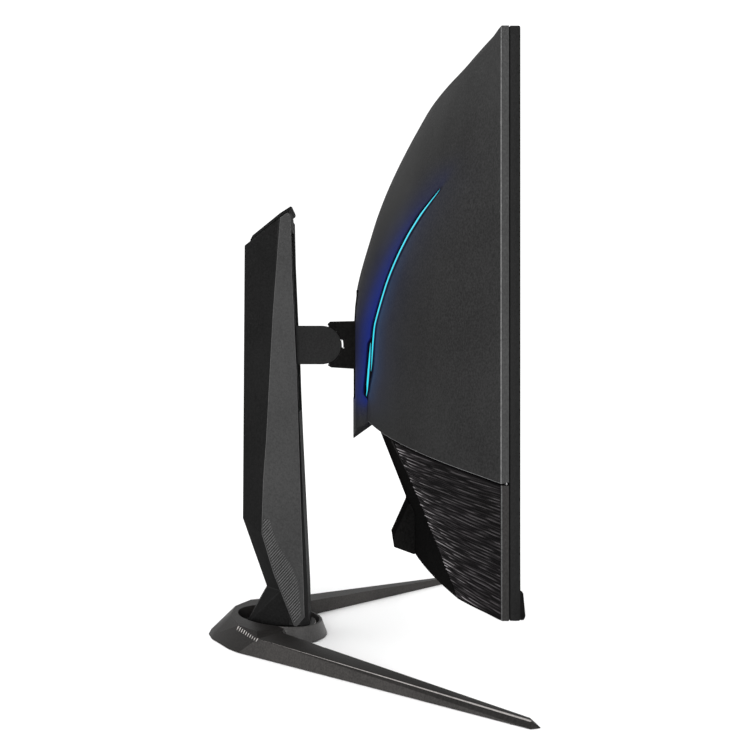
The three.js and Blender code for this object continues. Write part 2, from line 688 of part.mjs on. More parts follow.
/** The arm: a bar with a round end, slotted for the bracket's ears and their washers. */
function arm() {
  const root = CARRIAGE.y[0] - GAP;
  const outline = new THREE.Shape();
  outline.moveTo(root, ARM_Z - ARM_RADIUS);
  outline.lineTo(root, ARM_Z + ARM_RADIUS);
  outline.lineTo(TILT_Y, ARM_Z + ARM_RADIUS);
  outline.absarc(TILT_Y, ARM_Z, ARM_RADIUS, Math.PI / 2, (3 * Math.PI) / 2, false);
  let made = prismX(outline, -ARM_HALF_WIDTH, ARM_HALF_WIDTH, 24);
  for (const side of [-1, 1]) {
    const slot = [side * (EAR.inner - 0.4), side * (EAR.outer + WASHER.thick + 2 * GAP + 0.2)];
    slot.sort((a, b) => a - b);
    const swing = ARM_RADIUS - 1.7;
    made = cut(made, box(slot, [0, TILT_Y + EAR.radius + 1.4], [ARM_Z - swing, ARM_Z + swing]));
  }
  return cut(made, cylinder("x", [-18, 18], [TILT_Y, ARM_Z], PIN_RADIUS + 0.35, 24));
}

function tiltWasher(side) {
  const xs = [side * (EAR.outer + GAP), side * (EAR.outer + GAP + WASHER.thick)].sort((a, b) => a - b);
  return cut(
    cylinder("x", xs, [TILT_Y, ARM_Z], WASHER.radius, 24),
    cylinder("x", [-40, 40], [TILT_Y, ARM_Z], PIN_RADIUS + 0.35, 24),
  );
}

add("vesa_plate", vesaPlate(), "steel");
vesaHoles().forEach((hole, i) => add(`vesa_screw_${i + 1}`, vesaScrew(hole), "steel"));
add("tilt_bracket", tiltBracket(), "steel");
add("bracket_cover", bracketCover(), "black");
add("arm", arm(), "column");
add("tilt_pin", cylinder("x", [-17.4, 17.4], [TILT_Y, ARM_Z], PIN_RADIUS, 24), "steel");
add("tilt_washer_left", tiltWasher(-1), "steel");
add("tilt_washer_right", tiltWasher(1), "steel");

// ---------------------------------------------------------------- lift mechanism
const SPRING = { y: 62.4, outer: 6.5, bore: 3.4, rod: 3, bottom: 52, top: 198 };

function carriage() {
  const { y, half, halfHeight } = CARRIAGE;
  let made = box([-half, half], y, [ARM_Z - halfHeight, ARM_Z + halfHeight]);
  for (const side of [-1, 1]) {
    const groove = [side * (RAIL.x[0] - 0.4), side * BIG].sort((a, b) => a - b);
    made = cut(made, box(groove, [RAIL.y[0] - 0.4, RAIL.y[1] + 0.4], [0, BIG]));
  }
  return made;
}

function springCylinder() {
  const { y, outer, bore, bottom, top } = SPRING;
  return cut(
    cylinder("z", [bottom, top], [0, y], outer, 20),
    cylinder("z", [bottom + 4, top + 1], [0, y], bore, 16),
  );
}

add("carriage", carriage(), "black");
add("spring_rod", cylinder("z", [102, ARM_Z - 19 - GAP], [0, SPRING.y], SPRING.rod, 16), "steel");
add("spring_cylinder", springCylinder(), "steel");
for (const [name, side] of [["rail_left", -1], ["rail_right", 1]]) {
  const xs = [side * RAIL.x[0], side * RAIL.x[1]].sort((a, b) => a - b);
  add(name, box(xs, RAIL.y, [114, 370]), "steel");
}
add("mast_plate", box([-22.6, 22.6], [69, 71], [114, 370]), "steel");

// ---------------------------------------------------------------- column
const CAP_SLOPE = 0.67;
const capTop = (y) => 388.4 - CAP_SLOPE * (y - 53.4);
const CAP_THICKNESS = 3.4;
const CAVITY_TOP = 372;
const SPLIT_Y = 56;

/** The column's outer form, without its side panels: a leaning upper part, a narrow neck, a flared foot. */
function columnForm() {
  const coreTop = (y) => capTop(y) - CAP_THICKNESS;
  const upper = hull(
    mirrored([
      [22, 42.8, 108], [COLUMN_X, 45.2, 108], [COLUMN_X, 79.8, 108], [11, 98.8, 108],
      [22, 54.6, 377], [COLUMN_X, 54.8, 376], [22, 55.3, coreTop(55.3)],
      [COLUMN_X, 55.6, coreTop(55.6)], [COLUMN_X, 65, coreTop(65)], [11, 97.2, coreTop(97.2) - 1],
    ]),
  );
  const waist = hull(
    mirrored([
      [22, 42.8, 108], [COLUMN_X, 45.2, 108], [COLUMN_X, 79.8, 108], [11, 98.8, 108],
      [22, 39.4, 46], [COLUMN_X, 42.6, 46], [COLUMN_X, 63.4, 46], [10, 77, 46],
      [COLUMN_X, 80.2, 97],
    ]),
  );
  const foot = hull(
    mirrored([
      [22, 39.4, 46], [COLUMN_X, 42.6, 46], [COLUMN_X, 63.4, 46], [10, 77, 46],
      [19, 38.4, 12], [24, 43, 12], [24, 55, 12], [13, 96, 12], [COLUMN_X, 51.5, 16], [COLUMN_X, 46, 16],
    ]),
  );
  return join(upper, waist, foot);
}

/** The column's inside: the carriage's shaft, the arm's slot in front and the gas spring's well. */
function columnInside() {
  const shaft = box([-23.2, 23.2], [SPLIT_Y - 0.1, 71.4], [112, CAVITY_TOP]);
  const slotTop = ARM_Z + ARM_RADIUS + TRAVEL_UP + 1;
  const slotBottom = ARM_Z - ARM_RADIUS - TRAVEL_DOWN - 1;
  const slot = box([-ARM_HALF_WIDTH - 0.5, ARM_HALF_WIDTH + 0.5], [0, SPLIT_Y + 1], [slotBottom, slotTop]);
  const well = box([-7.5, 7.5], [SPLIT_Y - 1, 70], [SPRING.bottom - 1, 113]);
  const bore = cylinder("z", [0, 34], [0, SWIVEL_Y], 4.4, 16);
  return join(shaft, slot, well, bore);
}

const column = cut(columnForm(), columnInside());

/** Outline of a side panel: (y, z), narrow at the top, widest near z = 100, pointed at the foot. */
const PANEL_OUTLINE = [
  [63.6, capTop(63.6) - CAP_THICKNESS - 0.8], [57, capTop(57) - CAP_THICKNESS - 0.8], [54.2, 379],
  [53.1, 330], [48.9, 243], [45.4, 144.5], [43, 67], [41.9, 23.2], [49.6, 14], [51.4, 15.8],
  [69.7, 62.8], [79.8, 97], [79.8, 106.4], [78.6, 144.5], [76, 180], [70, 293],
];

function sidePanel() {
  return prismX(PANEL_OUTLINE, COLUMN_X + GAP, COLUMN_X + GAP + PANEL_THICKNESS);
}

function topCap() {
  const plate = hull(
    mirrored([
      [22, 53.6, capTop(53.6)], [COLUMN_X, 54.4, capTop(54.4)],
      [COLUMN_X + 1.5, 64, capTop(64)], [11, 90, capTop(90)],
      [22, 52.8, capTop(53.4) - 3], [COLUMN_X, 53.6, capTop(54) - CAP_THICKNESS + GAP],
      [COLUMN_X + 1.5, 65, capTop(65) - CAP_THICKNESS + GAP], [11, 92.4, capTop(92.4) - CAP_THICKNESS + GAP],
    ]),
  );
  const below = hull(
    mirrored([
      [60, 20, capTop(20) - CAP_THICKNESS + GAP], [60, 140, capTop(140) - CAP_THICKNESS + GAP],
      [60, 20, 200], [60, 140, 200],
    ]),
  );
  return cut(plate, below);
}

const frontHalf = box([-BIG, BIG], [-BIG, SPLIT_Y - GAP / 2], [-BIG, BIG]);
const rearHalf = box([-BIG, BIG], [SPLIT_Y + GAP / 2, BIG], [-BIG, BIG]);
add("column_front_cover", column.intersect(frontHalf), "column");
add("column_rear_cover", column.intersect(rearHalf), "column");
add("column_panel_right", sidePanel(), "trim");
add("column_panel_left", flipX(sidePanel()), "trim");
add("column_cap", topCap(), "column");

// ---------------------------------------------------------------- base
const TURNTABLE = { bottom: 6.8, top: 11.7, radius: 34 };
const HUB_FLOOR = 5;
const PADS = {
  pad_tip_right: [230, -114, 3.6],
  pad_tip_left: [-230, -114, 3.6],
  pad_root_right: [86, 44, 7],
  pad_root_left: [-86, 44, 7],
  pad_tail: [0, 118, 6],
};

function padPocket([x, y, radius]) {
  return cylinder("z", [-1, PAD_HEIGHT + GAP], [x, y], radius + GAP, 20);
}

/** Everything on the hub's side of the joints with the feet, grown by extra. */
function hubSide(extra = 0) {
  const half = [[58 + extra, 140], [59 + extra, 104], [45 + extra, 40], [45 + extra, 10]];
  return prismZ([...half, ...half.map(([x, y]) => [-x, y]).reverse()], -1, 60);
}

function hub() {
  const ring = turned(
    [
      [17, BASE_BOTTOM], [44, BASE_BOTTOM], [42.8, 3.5], [39.2, 14], [39, 28],
      [HUB_INNER, 28], [HUB_INNER, HUB_FLOOR], [17, HUB_FLOOR], [17, BASE_BOTTOM],
    ],
    0,
    SWIVEL_Y,
  );
  // The hub's back and flanks run down from the rim to a pointed tail.
  const block = hull(
    mirrored([
      [0, HALF_DEPTH, BASE_BOTTOM], [17, 126, BASE_BOTTOM],
      [50, 106.6, BASE_BOTTOM], [59, 96.5, BASE_BOTTOM],
      [66, 70, BASE_BOTTOM], [52, 52, BASE_BOTTOM], [0, HALF_DEPTH - 2.4, 5], [17, 123.4, 5],
      [22, 102, 28], [33, 94, 28], [44, 84, 25], [56, 74, 15.6], [48, 60, 15.6], [58, 92, 12],
    ]),
  );
  const inside = cylinder("z", [HUB_FLOOR, 60], [0, SWIVEL_Y], HUB_INNER, 48);
  const hole = cylinder("z", [-1, 60], [0, SWIVEL_Y], 17, 48);
  // The rim slopes up towards the back.
  const above = prismX([[10, 11.6], [150, 27.2], [150, 60], [10, 60]], -BIG, BIG);
  return cut(join(ring, block.intersect(hubSide())), inside, hole, above, padPocket(PADS.pad_tail));
}

/** Right foot, from the hub out to its tip: a tapering blade with a ridge along its outer edge. */
function foot() {
  const z = BASE_BOTTOM;
  const blade = hull([
    [61, 97, z], [244, -124, z], [241.4, -HALF_DEPTH, z], [235, -126, z], [30, 78, z],
    [56, 95, 15], [239.6, -124.4, 5], [235, -125, 5.2], [34, 78, 17],
  ]);
  const ring = cylinder("z", [-1, 60], [0, SWIVEL_Y], 44.6, 48);
  return cut(blade, hubSide(GAP), ring, padPocket(PADS.pad_tip_right), padPocket(PADS.pad_root_right));
}

add("base_hub", hub(), "base");
add("foot_right", foot(), "base");
add("foot_left", flipX(foot()), "base");
const washer = [[20, 5.3], [33, 5.3], [33, 6.5], [20, 6.5], [20, 5.3]];
add("bearing_washer", turned(washer, 0, SWIVEL_Y), "rubber");
for (const [name, [x, y, radius]] of Object.entries(PADS)) {
  add(name, cylinder("z", [0, PAD_HEIGHT], [x, y], radius, 20), "rubber");
}
add(
  "turntable",
  cut(
    cylinder("z", [TURNTABLE.bottom, TURNTABLE.top], [0, SWIVEL_Y], TURNTABLE.radius, 48),
    cylinder("z", [0, 20], [0, SWIVEL_Y], 4.4, 16),
  ),
  "steel",
);
add(
  "base_thumbscrew",
  join(
    cylinder("z", [2, TURNTABLE.bottom - GAP], [0, SWIVEL_Y], 13, 24),
    cylinder("z", [4, 30], [0, SWIVEL_Y], 4, 16),
  ),
  "steel",
);

const monitor = new THREE.Group();
monitor.add(head);
export default monitor;
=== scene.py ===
"""The looks of a curved desktop monitor on a V-footed stand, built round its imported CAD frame.

The frame is in metres, +Z up, with the screen towards -Y. Sizes below are in millimetres.
"""
import json
import math

import bmesh
import bpy
import numpy as np
from mathutils import Matrix, Vector


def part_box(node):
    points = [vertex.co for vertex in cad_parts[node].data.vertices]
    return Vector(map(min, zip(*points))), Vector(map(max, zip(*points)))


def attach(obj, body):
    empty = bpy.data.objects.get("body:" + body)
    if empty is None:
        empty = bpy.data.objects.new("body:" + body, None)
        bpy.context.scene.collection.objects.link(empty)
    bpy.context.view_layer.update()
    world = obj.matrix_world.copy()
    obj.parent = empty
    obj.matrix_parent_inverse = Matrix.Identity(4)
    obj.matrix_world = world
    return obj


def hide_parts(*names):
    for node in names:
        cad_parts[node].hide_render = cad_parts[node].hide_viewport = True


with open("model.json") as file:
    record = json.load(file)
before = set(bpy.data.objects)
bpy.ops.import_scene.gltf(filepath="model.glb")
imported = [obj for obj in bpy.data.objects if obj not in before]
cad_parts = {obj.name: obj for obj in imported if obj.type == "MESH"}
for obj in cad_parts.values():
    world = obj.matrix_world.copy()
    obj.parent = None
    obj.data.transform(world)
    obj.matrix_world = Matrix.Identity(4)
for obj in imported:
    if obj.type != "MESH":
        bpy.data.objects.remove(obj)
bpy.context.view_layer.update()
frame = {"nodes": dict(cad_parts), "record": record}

NODES = frame["nodes"]
SCENE = bpy.context.scene
MM = 0.001

# Material slots of a new mesh: its own finish, eased edges (mostly with a painted highlight), and rims.
SLOT_COUNT = 3
PLAIN_SLOT = 0
EDGE_SLOT = 1
RIM_SLOT = 2


def box_mm(node):
    low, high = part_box(node)
    return [v / MM for v in low], [v / MM for v in high]


# ------------------------------------------------------------ sizes of the head
FRAME_LOW, FRAME_HIGH = box_mm("front_frame")
HALF_WIDTH = FRAME_HIGH[0]
HEAD_BOTTOM, HEAD_TOP = FRAME_LOW[2], FRAME_HIGH[2]
FRONT_AT_EDGE = FRAME_LOW[1]
SEAT_DEPTH = 7.5  # from the frame's front to the seat of the rear shell
FRAME_DEPTH = 6.8  # the frame stops short of the seat, which leaves a dark gap
SHELL = 3.5
GAP = 0.3
EDGE_Y = FRONT_AT_EDGE + SEAT_DEPTH + SHELL
SCREEN_RADIUS = 1800.0
SIDE_BORDER = 6.4
TOP_BORDER = 6.4
CHIN_HEIGHT = 20.0
DOME_RISE, DOME_RISE_AT_TOP, DOME_FULL_BELOW, DOME_EXPONENT = 88.0, 34.0, 308.0, 1.8
CHAMFER_HEIGHT, CHAMFER_DEPTH = 6.0, 7.5
SHIELD_RISE, SHIELD_TOP, SHIELD_FADE = 7.8, 366.0, 90.0
SEAM_AT_EDGE, SEAM_AT_NOTCH, NOTCH_X, TIP_X = 175.0, 199.5, 76.0, 25.0
TIP_Z = 181.0
UNDERSIDE_SLOPE = 0.85
BOTTOM_RISE = 49.0
WING_TOP_X, WING_BOTTOM_X = 157.0, 246.0
PLATE_TOP_Z, PLATE_TOP_Y, PLATE_BEND_Z, PLATE_BEND_Y = 189.0, -24.6, 124.0, -50.2
PLATE_CURVE_LOW, PLATE_CURVE_HIGH = 0.000387, 0.00028
CREASE_HEIGHTS, CREASE_XS = (181.0, 200.0, 337.0, 366.0), (50.0, 51.0, 60.0, 64.0)
LIP_HEIGHT, LIP_START_X = 1.4, 282.0
ARM_Z = 264.5
POCKET_HALF = 48.0
TILT_Y = 27.1
SWIVEL_Y = 67.0


# ------------------------------------------------------------ mesh helpers
def new_object(name, mesh):
    made = bpy.data.objects.new(name, mesh)
    SCENE.collection.objects.link(made)
    return made


def blank_slots(mesh):
    """Empty slots, so that eased edges and rims keep an index of their own."""
    while len(mesh.materials) < SLOT_COUNT:
        mesh.materials.append(None)
    return mesh


def from_bmesh(name, bm):
    mesh = bpy.data.meshes.new(name)
    bm.to_mesh(mesh)
    bm.free()
    return new_object(name, blank_slots(mesh))


def from_mm(name, points, faces):
    mesh = bpy.data.meshes.new(name)
    mesh.from_pydata([(x * MM, y * MM, z * MM) for x, y, z in points], [], faces)
    mesh.update()
    return new_object(name, blank_slots(mesh))


def settle(made):
    """Applies every modifier, so that the mesh is what is seen."""
    graph = bpy.context.evaluated_depsgraph_get()
    mesh = bpy.data.meshes.new_from_object(made.evaluated_get(graph))
    old = made.data
    made.modifiers.clear()
    made.data = blank_slots(mesh)
    bpy.data.meshes.remove(old)
    return made


def boolean(made, other, operation):
    step = made.modifiers.new(operation, "BOOLEAN")
    step.operation = operation
    step.solver = "EXACT"
    step.object = other
    settle(made)
    mesh = other.data
    bpy.data.objects.remove(other)
    bpy.data.meshes.remove(mesh)
    return made


def outward(made):
    bm = bmesh.new()
    bm.from_mesh(made.data)
    bmesh.ops.recalc_face_normals(bm, faces=bm.faces)
    bm.to_mesh(made.data)
    bm.free()
    return made


def shade(made, sharp_degrees=30.0):
    """Smooth faces, with the edges that turn more than the given angle kept sharp."""
    bm = bmesh.new()
    bm.from_mesh(made.data)
    limit = math.radians(sharp_degrees)
    for face in bm.faces:
        face.smooth = True
    for edge in bm.edges:
        edge.smooth = len(edge.link_faces) == 2 and edge.calc_face_angle(0.0) < limit
    bm.to_mesh(made.data)
    bm.free()
    return made


def bevel(made, width_mm, segments=2, weights=False, angle=30.0):
    step = made.modifiers.new("bevel", "BEVEL")
    step.width = width_mm * MM
    step.segments = segments
    step.limit_method = "WEIGHT" if weights else "ANGLE"
    step.angle_limit = math.radians(angle)
    step.harden_normals = False
    step.use_clamp_overlap = True
    # The bevel's faces take the edge slot, which is mostly painted as a highlight.
    step.material = EDGE_SLOT
    return step


def finish_piece(made, body, slot, replaces=(), paints=()):
    """Paints a piece slot by slot, says which body it rides on, and hides the CAD nodes it stands for."""
    # By default the edge slot takes the finish's copy with a painted highlight.
    paints = paints or (slot, slot + "_edge")
    while len(made.data.materials) < max(SLOT_COUNT, len(paints)):
        made.data.materials.append(None)
    for index in range(len(made.data.materials)):
        made.data.materials[index] = PAINTS[paints[min(index, len(paints) - 1)]]
    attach(made, body)
    if replaces:
        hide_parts(*replaces)
    return made


def grid_faces(rows, columns, start=0, flip=False):
    faces = []
    for r in range(rows - 1):
        for c in range(columns - 1):
            a = start + r * columns + c
            face = (a, a + 1, a + columns + 1, a + columns)
            faces.append(face[::-1] if flip else face)
    return faces


def closed_sheet(name, outer, inner, rim_bevel=0.7, values=None):
    """A closed shell from two (rows, columns, 3) grids in millimetres. Its outer rim gets a bevel."""
    rows, columns = outer.shape[:2]
    layer = rows * columns
    points = np.concatenate([outer.reshape(-1, 3), inner.reshape(-1, 3)])
    faces = grid_faces(rows, columns, 0, True) + grid_faces(rows, columns, layer)
    loop = list(range(columns))
    loop += [r * columns + columns - 1 for r in range(1, rows)]
    loop += [(rows - 1) * columns + c for c in range(columns - 2, -1, -1)]
    loop += [r * columns for r in range(rows - 2, 0, -1)]
    for a, b in zip(loop, loop[1:] + loop[:1]):
        faces.append((a, b, b + layer, a + layer))
    made = from_mm(name, points.tolist(), faces)
    rim = {frozenset(pair) for pair in zip(loop, loop[1:] + loop[:1])}
    weight = made.data.attributes.new("bevel_weight_edge", "FLOAT", "EDGE")
    for edge in made.data.edges:
        weight.data[edge.index].value = 1.0 if frozenset(edge.vertices) in rim else 0.0
    for key, value in (values or {}).items():
        store(made, key, np.concatenate([value.ravel(), np.zeros(layer)]))
    outward(made)
    if rim_bevel:
        bevel(made, rim_bevel, 3, weights=True)
        settle(made)
    return made


def block(name, x, y, z):
    bm = bmesh.new()
    bmesh.ops.create_cube(bm, size=1.0)
    size = Matrix.Diagonal(((x[1] - x[0]) * MM, (y[1] - y[0]) * MM, (z[1] - z[0]) * MM, 1.0))
    centre = Vector(((x[0] + x[1]) / 2, (y[0] + y[1]) / 2, (z[0] + z[1]) / 2)) * MM
    bmesh.ops.transform(bm, matrix=Matrix.Translation(centre) @ size, verts=bm.verts)
    return from_bmesh(name, bm)


def hull(name, points):
    bm = bmesh.new()
    for x, y, z in points:
        bm.verts.new((x * MM, y * MM, z * MM))
    done = bmesh.ops.convex_hull(bm, input=bm.verts)
    loose = [v for v in done["geom_interior"] + done["geom_unused"] if isinstance(v, bmesh.types.BMVert)]
    bmesh.ops.delete(bm, geom=list(set(loose)), context="VERTS")
    bmesh.ops.dissolve_limit(bm, angle_limit=math.radians(0.5), verts=bm.verts, edges=bm.edges)
    return from_bmesh(name, bm)


def loft_faces(stations, ring):
    """Faces of a closed tube whose rings of points follow one another, with both ends capped."""
    faces = []
    for i in range(stations - 1):
        for k in range(ring):
            a, b = i * ring + k, i * ring + (k + 1) % ring
            faces.append((a, b, b + ring, a + ring))
    last = (stations - 1) * ring
    return faces + [tuple(range(ring)), tuple(last + k for k in range(ring - 1, -1, -1))]


def cylinder(name, axis, span, centre, radius, sides=48):
    """A cylinder along y or z, with its centre given across that axis."""
    bm = bmesh.new()
    across, length = radius * MM, (span[1] - span[0]) * MM
    bmesh.ops.create_cone(bm, cap_ends=True, segments=sides, radius1=across, radius2=across, depth=length)
    middle = (span[0] + span[1]) / 2
    if axis == "z":
        matrix = Matrix.Translation(Vector((centre[0], centre[1], middle)) * MM)
    else:
        matrix = Matrix.Translation(Vector((centre[0], middle, centre[1])) * MM)
        matrix = matrix @ Matrix.Rotation(math.pi / 2, 4, "X")
    bmesh.ops.transform(bm, matrix=matrix, verts=bm.verts)
    return from_bmesh(name, bm)


# ------------------------------------------------------------ surfaces of the head
def smooth01(t):
    t = np.clip(t, 0.0, 1.0)
    return t * t * (3 - 2 * t)


SAGITTA = SCREEN_RADIUS - math.sqrt(SCREEN_RADIUS**2 - HALF_WIDTH**2)


def front_y(x):
    """The frame's front face, on the screen's curve."""
    return FRONT_AT_EDGE + SAGITTA - (SCREEN_RADIUS - np.sqrt(SCREEN_RADIUS**2 - np.square(x)))


# The fold that the light follows, from its outer tip down to the shield's foot, as (x, z).
ARC_KNOTS = np.array([
    (232.0, 371.0), (207.0, 356.0), (190.0, 345.0), (174.0, 332.5), (150.0, 312.5), (110.5, 279.0),
    (104.0, 263.5), (98.5, 243.0), (80.0, 226.0), (73.0, 213.0), (70.5, 199.0),
])
ARC_COUNT = 400
ARC_EASE = 13


def eased_line(knots):
    """A line of evenly spaced points through the knots, with its corners eased and its ends kept."""
    length = np.concatenate([[0.0], np.cumsum(np.linalg.norm(np.diff(knots, axis=0), axis=1))])
    stations = np.linspace(0, length[-1], ARC_COUNT)
    line = np.stack([np.interp(stations, length, knots[:, k]) for k in range(2)], 1)
    before = 2 * line[0] - line[ARC_EASE:0:-1]
    after = 2 * line[-1] - line[-2:-ARC_EASE - 2:-1]
    padded = np.concatenate([before, line, after])
    weights = np.hanning(2 * ARC_EASE + 3)[1:-1]
    weights /= weights.sum()
    return np.stack([np.convolve(padded[:, k], weights, "valid") for k in range(2)], 1)


ARC = eased_line(ARC_KNOTS)
ARC_SHARES = np.linspace(0, 1, ARC_COUNT)


def arc_point(share):
    return np.stack([np.interp(share, ARC_SHARES, ARC[:, k]) for k in range(2)], -1)


def light_x(z):
    """x of the fold at height z."""
    return np.interp(z, ARC[::-1, 1], ARC[::-1, 0])


def crease_x(z):
    """x at which the shield turns flat."""
    return np.interp(z, CREASE_HEIGHTS, CREASE_XS)


def lip(x):
    """A slight lip that runs along the head's sides."""
    return LIP_HEIGHT * smooth01((np.abs(x) - LIP_START_X) / (HALF_WIDTH - LIP_START_X))


def dome_y(x, z):
    """Outer face of the upper rear shell."""
    x, z = np.asarray(x, float), np.asarray(z, float)
    t = np.clip((HEAD_TOP - z) / (HEAD_TOP - DOME_FULL_BELOW), 0, 1)
    chamfer = CHAMFER_DEPTH * np.clip(1 - (HEAD_TOP - z) / CHAMFER_HEIGHT, 0, 1)
    rise = DOME_RISE + (DOME_RISE_AT_TOP - DOME_RISE) * (1 - t) ** DOME_EXPONENT - chamfer
    edge = light_x(z)
    shield = SHIELD_RISE * smooth01((SHIELD_TOP - z) / SHIELD_FADE)
    inside = np.clip((edge - np.abs(x)) / (edge - crease_x(z)), 0, 1)
    return EDGE_Y + rise * (1 - (x / HALF_WIDTH) ** 2) + shield * smooth01(inside) + lip(x)


def seam_z(x):
    """Height of the seam between the rear shell and the lower covers."""
    t = (HALF_WIDTH - np.abs(x)) / (HALF_WIDTH - NOTCH_X)
    return SEAM_AT_EDGE + (SEAM_AT_NOTCH - SEAM_AT_EDGE) * t


def lower_edge_z(x):
    """Lower edge of the rear shell: the seam, and the shield's pointed foot below it."""
    t = (np.abs(x) - TIP_X) / (NOTCH_X - TIP_X)
    return np.where(t < 1, TIP_Z + (SEAM_AT_NOTCH - TIP_Z) * np.clip(t, 0, 1), seam_z(x))


def lower_y(x, z):
    """Outer face of the lower covers."""
    bottom = EDGE_Y + BOTTOM_RISE * (1 - np.abs(x / HALF_WIDTH) ** 3)
    seam = EDGE_Y + DOME_RISE * (1 - (x / HALF_WIDTH) ** 2)
    return bottom + (seam - bottom) * (z - HEAD_BOTTOM) / (seam_z(x) - HEAD_BOTTOM) + lip(x)


def plate_y(x, z):
    """Outer face of the centre plate."""
    t = np.clip((z - PLATE_BEND_Z) / (PLATE_TOP_Z - PLATE_BEND_Z), 0, 1)
    middle = PLATE_BEND_Y + (PLATE_TOP_Y - PLATE_BEND_Y) * t
    share = np.clip((z - HEAD_BOTTOM) / (PLATE_TOP_Z - HEAD_BOTTOM), 0, 1)
    return middle - (PLATE_CURVE_LOW + (PLATE_CURVE_HIGH - PLATE_CURVE_LOW) * share) * x * x


# ------------------------------------------------------------ materials
def node_material(name):
    """A new material, with its tree, its shader and the socket of the object's own coordinates."""
    material = bpy.data.materials.new(name)
    material.use_nodes = True
    tree = material.node_tree
    place = tree.nodes.new("ShaderNodeTexCoord")
    return material, tree, tree.nodes["Principled BSDF"], place.outputs["Object"]


def add_node(tree, kind, **values):
    node = tree.nodes.new(kind)
    for key, value in values.items():
        if hasattr(node, key):
            setattr(node, key, value)
        else:
            node.inputs[key].default_value = value
    return node


def ramp(tree, stops, source):
    node = tree.nodes.new("ShaderNodeValToRGB")
    while len(node.color_ramp.elements) > 1:
        node.color_ramp.elements.remove(node.color_ramp.elements[-1])
    for i, (position, colour) in enumerate(stops):
        element = node.color_ramp.elements[0] if i == 0 else node.color_ramp.elements.new(position)
        element.position = position
        element.color = (*colour, 1.0) if len(colour) == 3 else colour
    tree.links.new(source, node.inputs["Fac"])
    return node.outputs["Color"]


def noise(tree, vector, scale, detail=1.0, roughness=0.5):
    node = add_node(tree, "ShaderNodeTexNoise", Scale=scale, Detail=detail, Roughness=roughness)
    tree.links.new(vector, node.inputs["Vector"])
    return node.outputs["Fac"]


def stretched(tree, vector, scale):
    node = add_node(tree, "ShaderNodeMapping")
    node.inputs["Scale"].default_value = scale
    tree.links.new(vector, node.inputs["Vector"])
    return node.outputs["Vector"]


def added(tree, first, share, second):
    """first times share, plus second."""
    node = add_node(tree, "ShaderNodeMath", operation="MULTIPLY_ADD")
    tree.links.new(first, node.inputs[0])
    node.inputs[1].default_value = share
    tree.links.new(second, node.inputs[2])
    return node.outputs["Value"]


def moulded(tree, shader, source, strength, distance=0.0004):
    """Raises the surface a little where the source is high."""
    node = add_node(tree, "ShaderNodeBump", Strength=strength, Distance=distance)
    tree.links.new(source, node.inputs["Height"])
    tree.links.new(node.outputs["Normal"], shader.inputs["Normal"])


def set_shader(shader, **values):
    for key, value in values.items():
        shader.inputs[key.replace("_", " ")].default_value = value


def grain_material(name, dark, light, rough=(0.5, 0.62), scale=640.0, bump=0.3, metallic=0.0, specular=0.05,
                   stretch=(1, 1, 1), cloud=14.0):
    """Moulded plastic or painted metal: a fine moulded grain, and a slow drift of tone over the part."""
    material, tree, shader, place = node_material(name)
    vector = stretched(tree, place, stretch)
    fine = noise(tree, vector, scale, 3.0, 0.65)
    slow = noise(tree, vector, cloud, 2.0)
    colour = ramp(tree, [(0.5, dark), (0.84, light)], added(tree, slow, 0.35, fine))
    tree.links.new(colour, shader.inputs["Base Color"])
    gloss = add_node(tree, "ShaderNodeMapRange")
    gloss.inputs["To Min"].default_value, gloss.inputs["To Max"].default_value = rough
    gloss.inputs["From Min"].default_value, gloss.inputs["From Max"].default_value = 0.3, 0.7
    tree.links.new(fine, gloss.inputs["Value"])
    tree.links.new(gloss.outputs["Result"], shader.inputs["Roughness"])
    moulded(tree, shader, fine, bump)
    set_shader(shader, Metallic=metallic, Specular_IOR_Level=specular)
    return material


def attribute(tree, name):
    return add_node(tree, "ShaderNodeAttribute", attribute_name=name).outputs["Fac"]


def mixed(tree, blend, first, second, share=1.0):
    """Blends two colours and returns the result's socket."""
    node = add_node(tree, "ShaderNodeMix", data_type="RGBA", blend_type=blend)
    for index, value in ((0, share), (6, first), (7, second)):
        if isinstance(value, bpy.types.NodeSocket):
            tree.links.new(value, node.inputs[index])
        else:
            node.inputs[index].default_value = value
    return node.outputs[2]


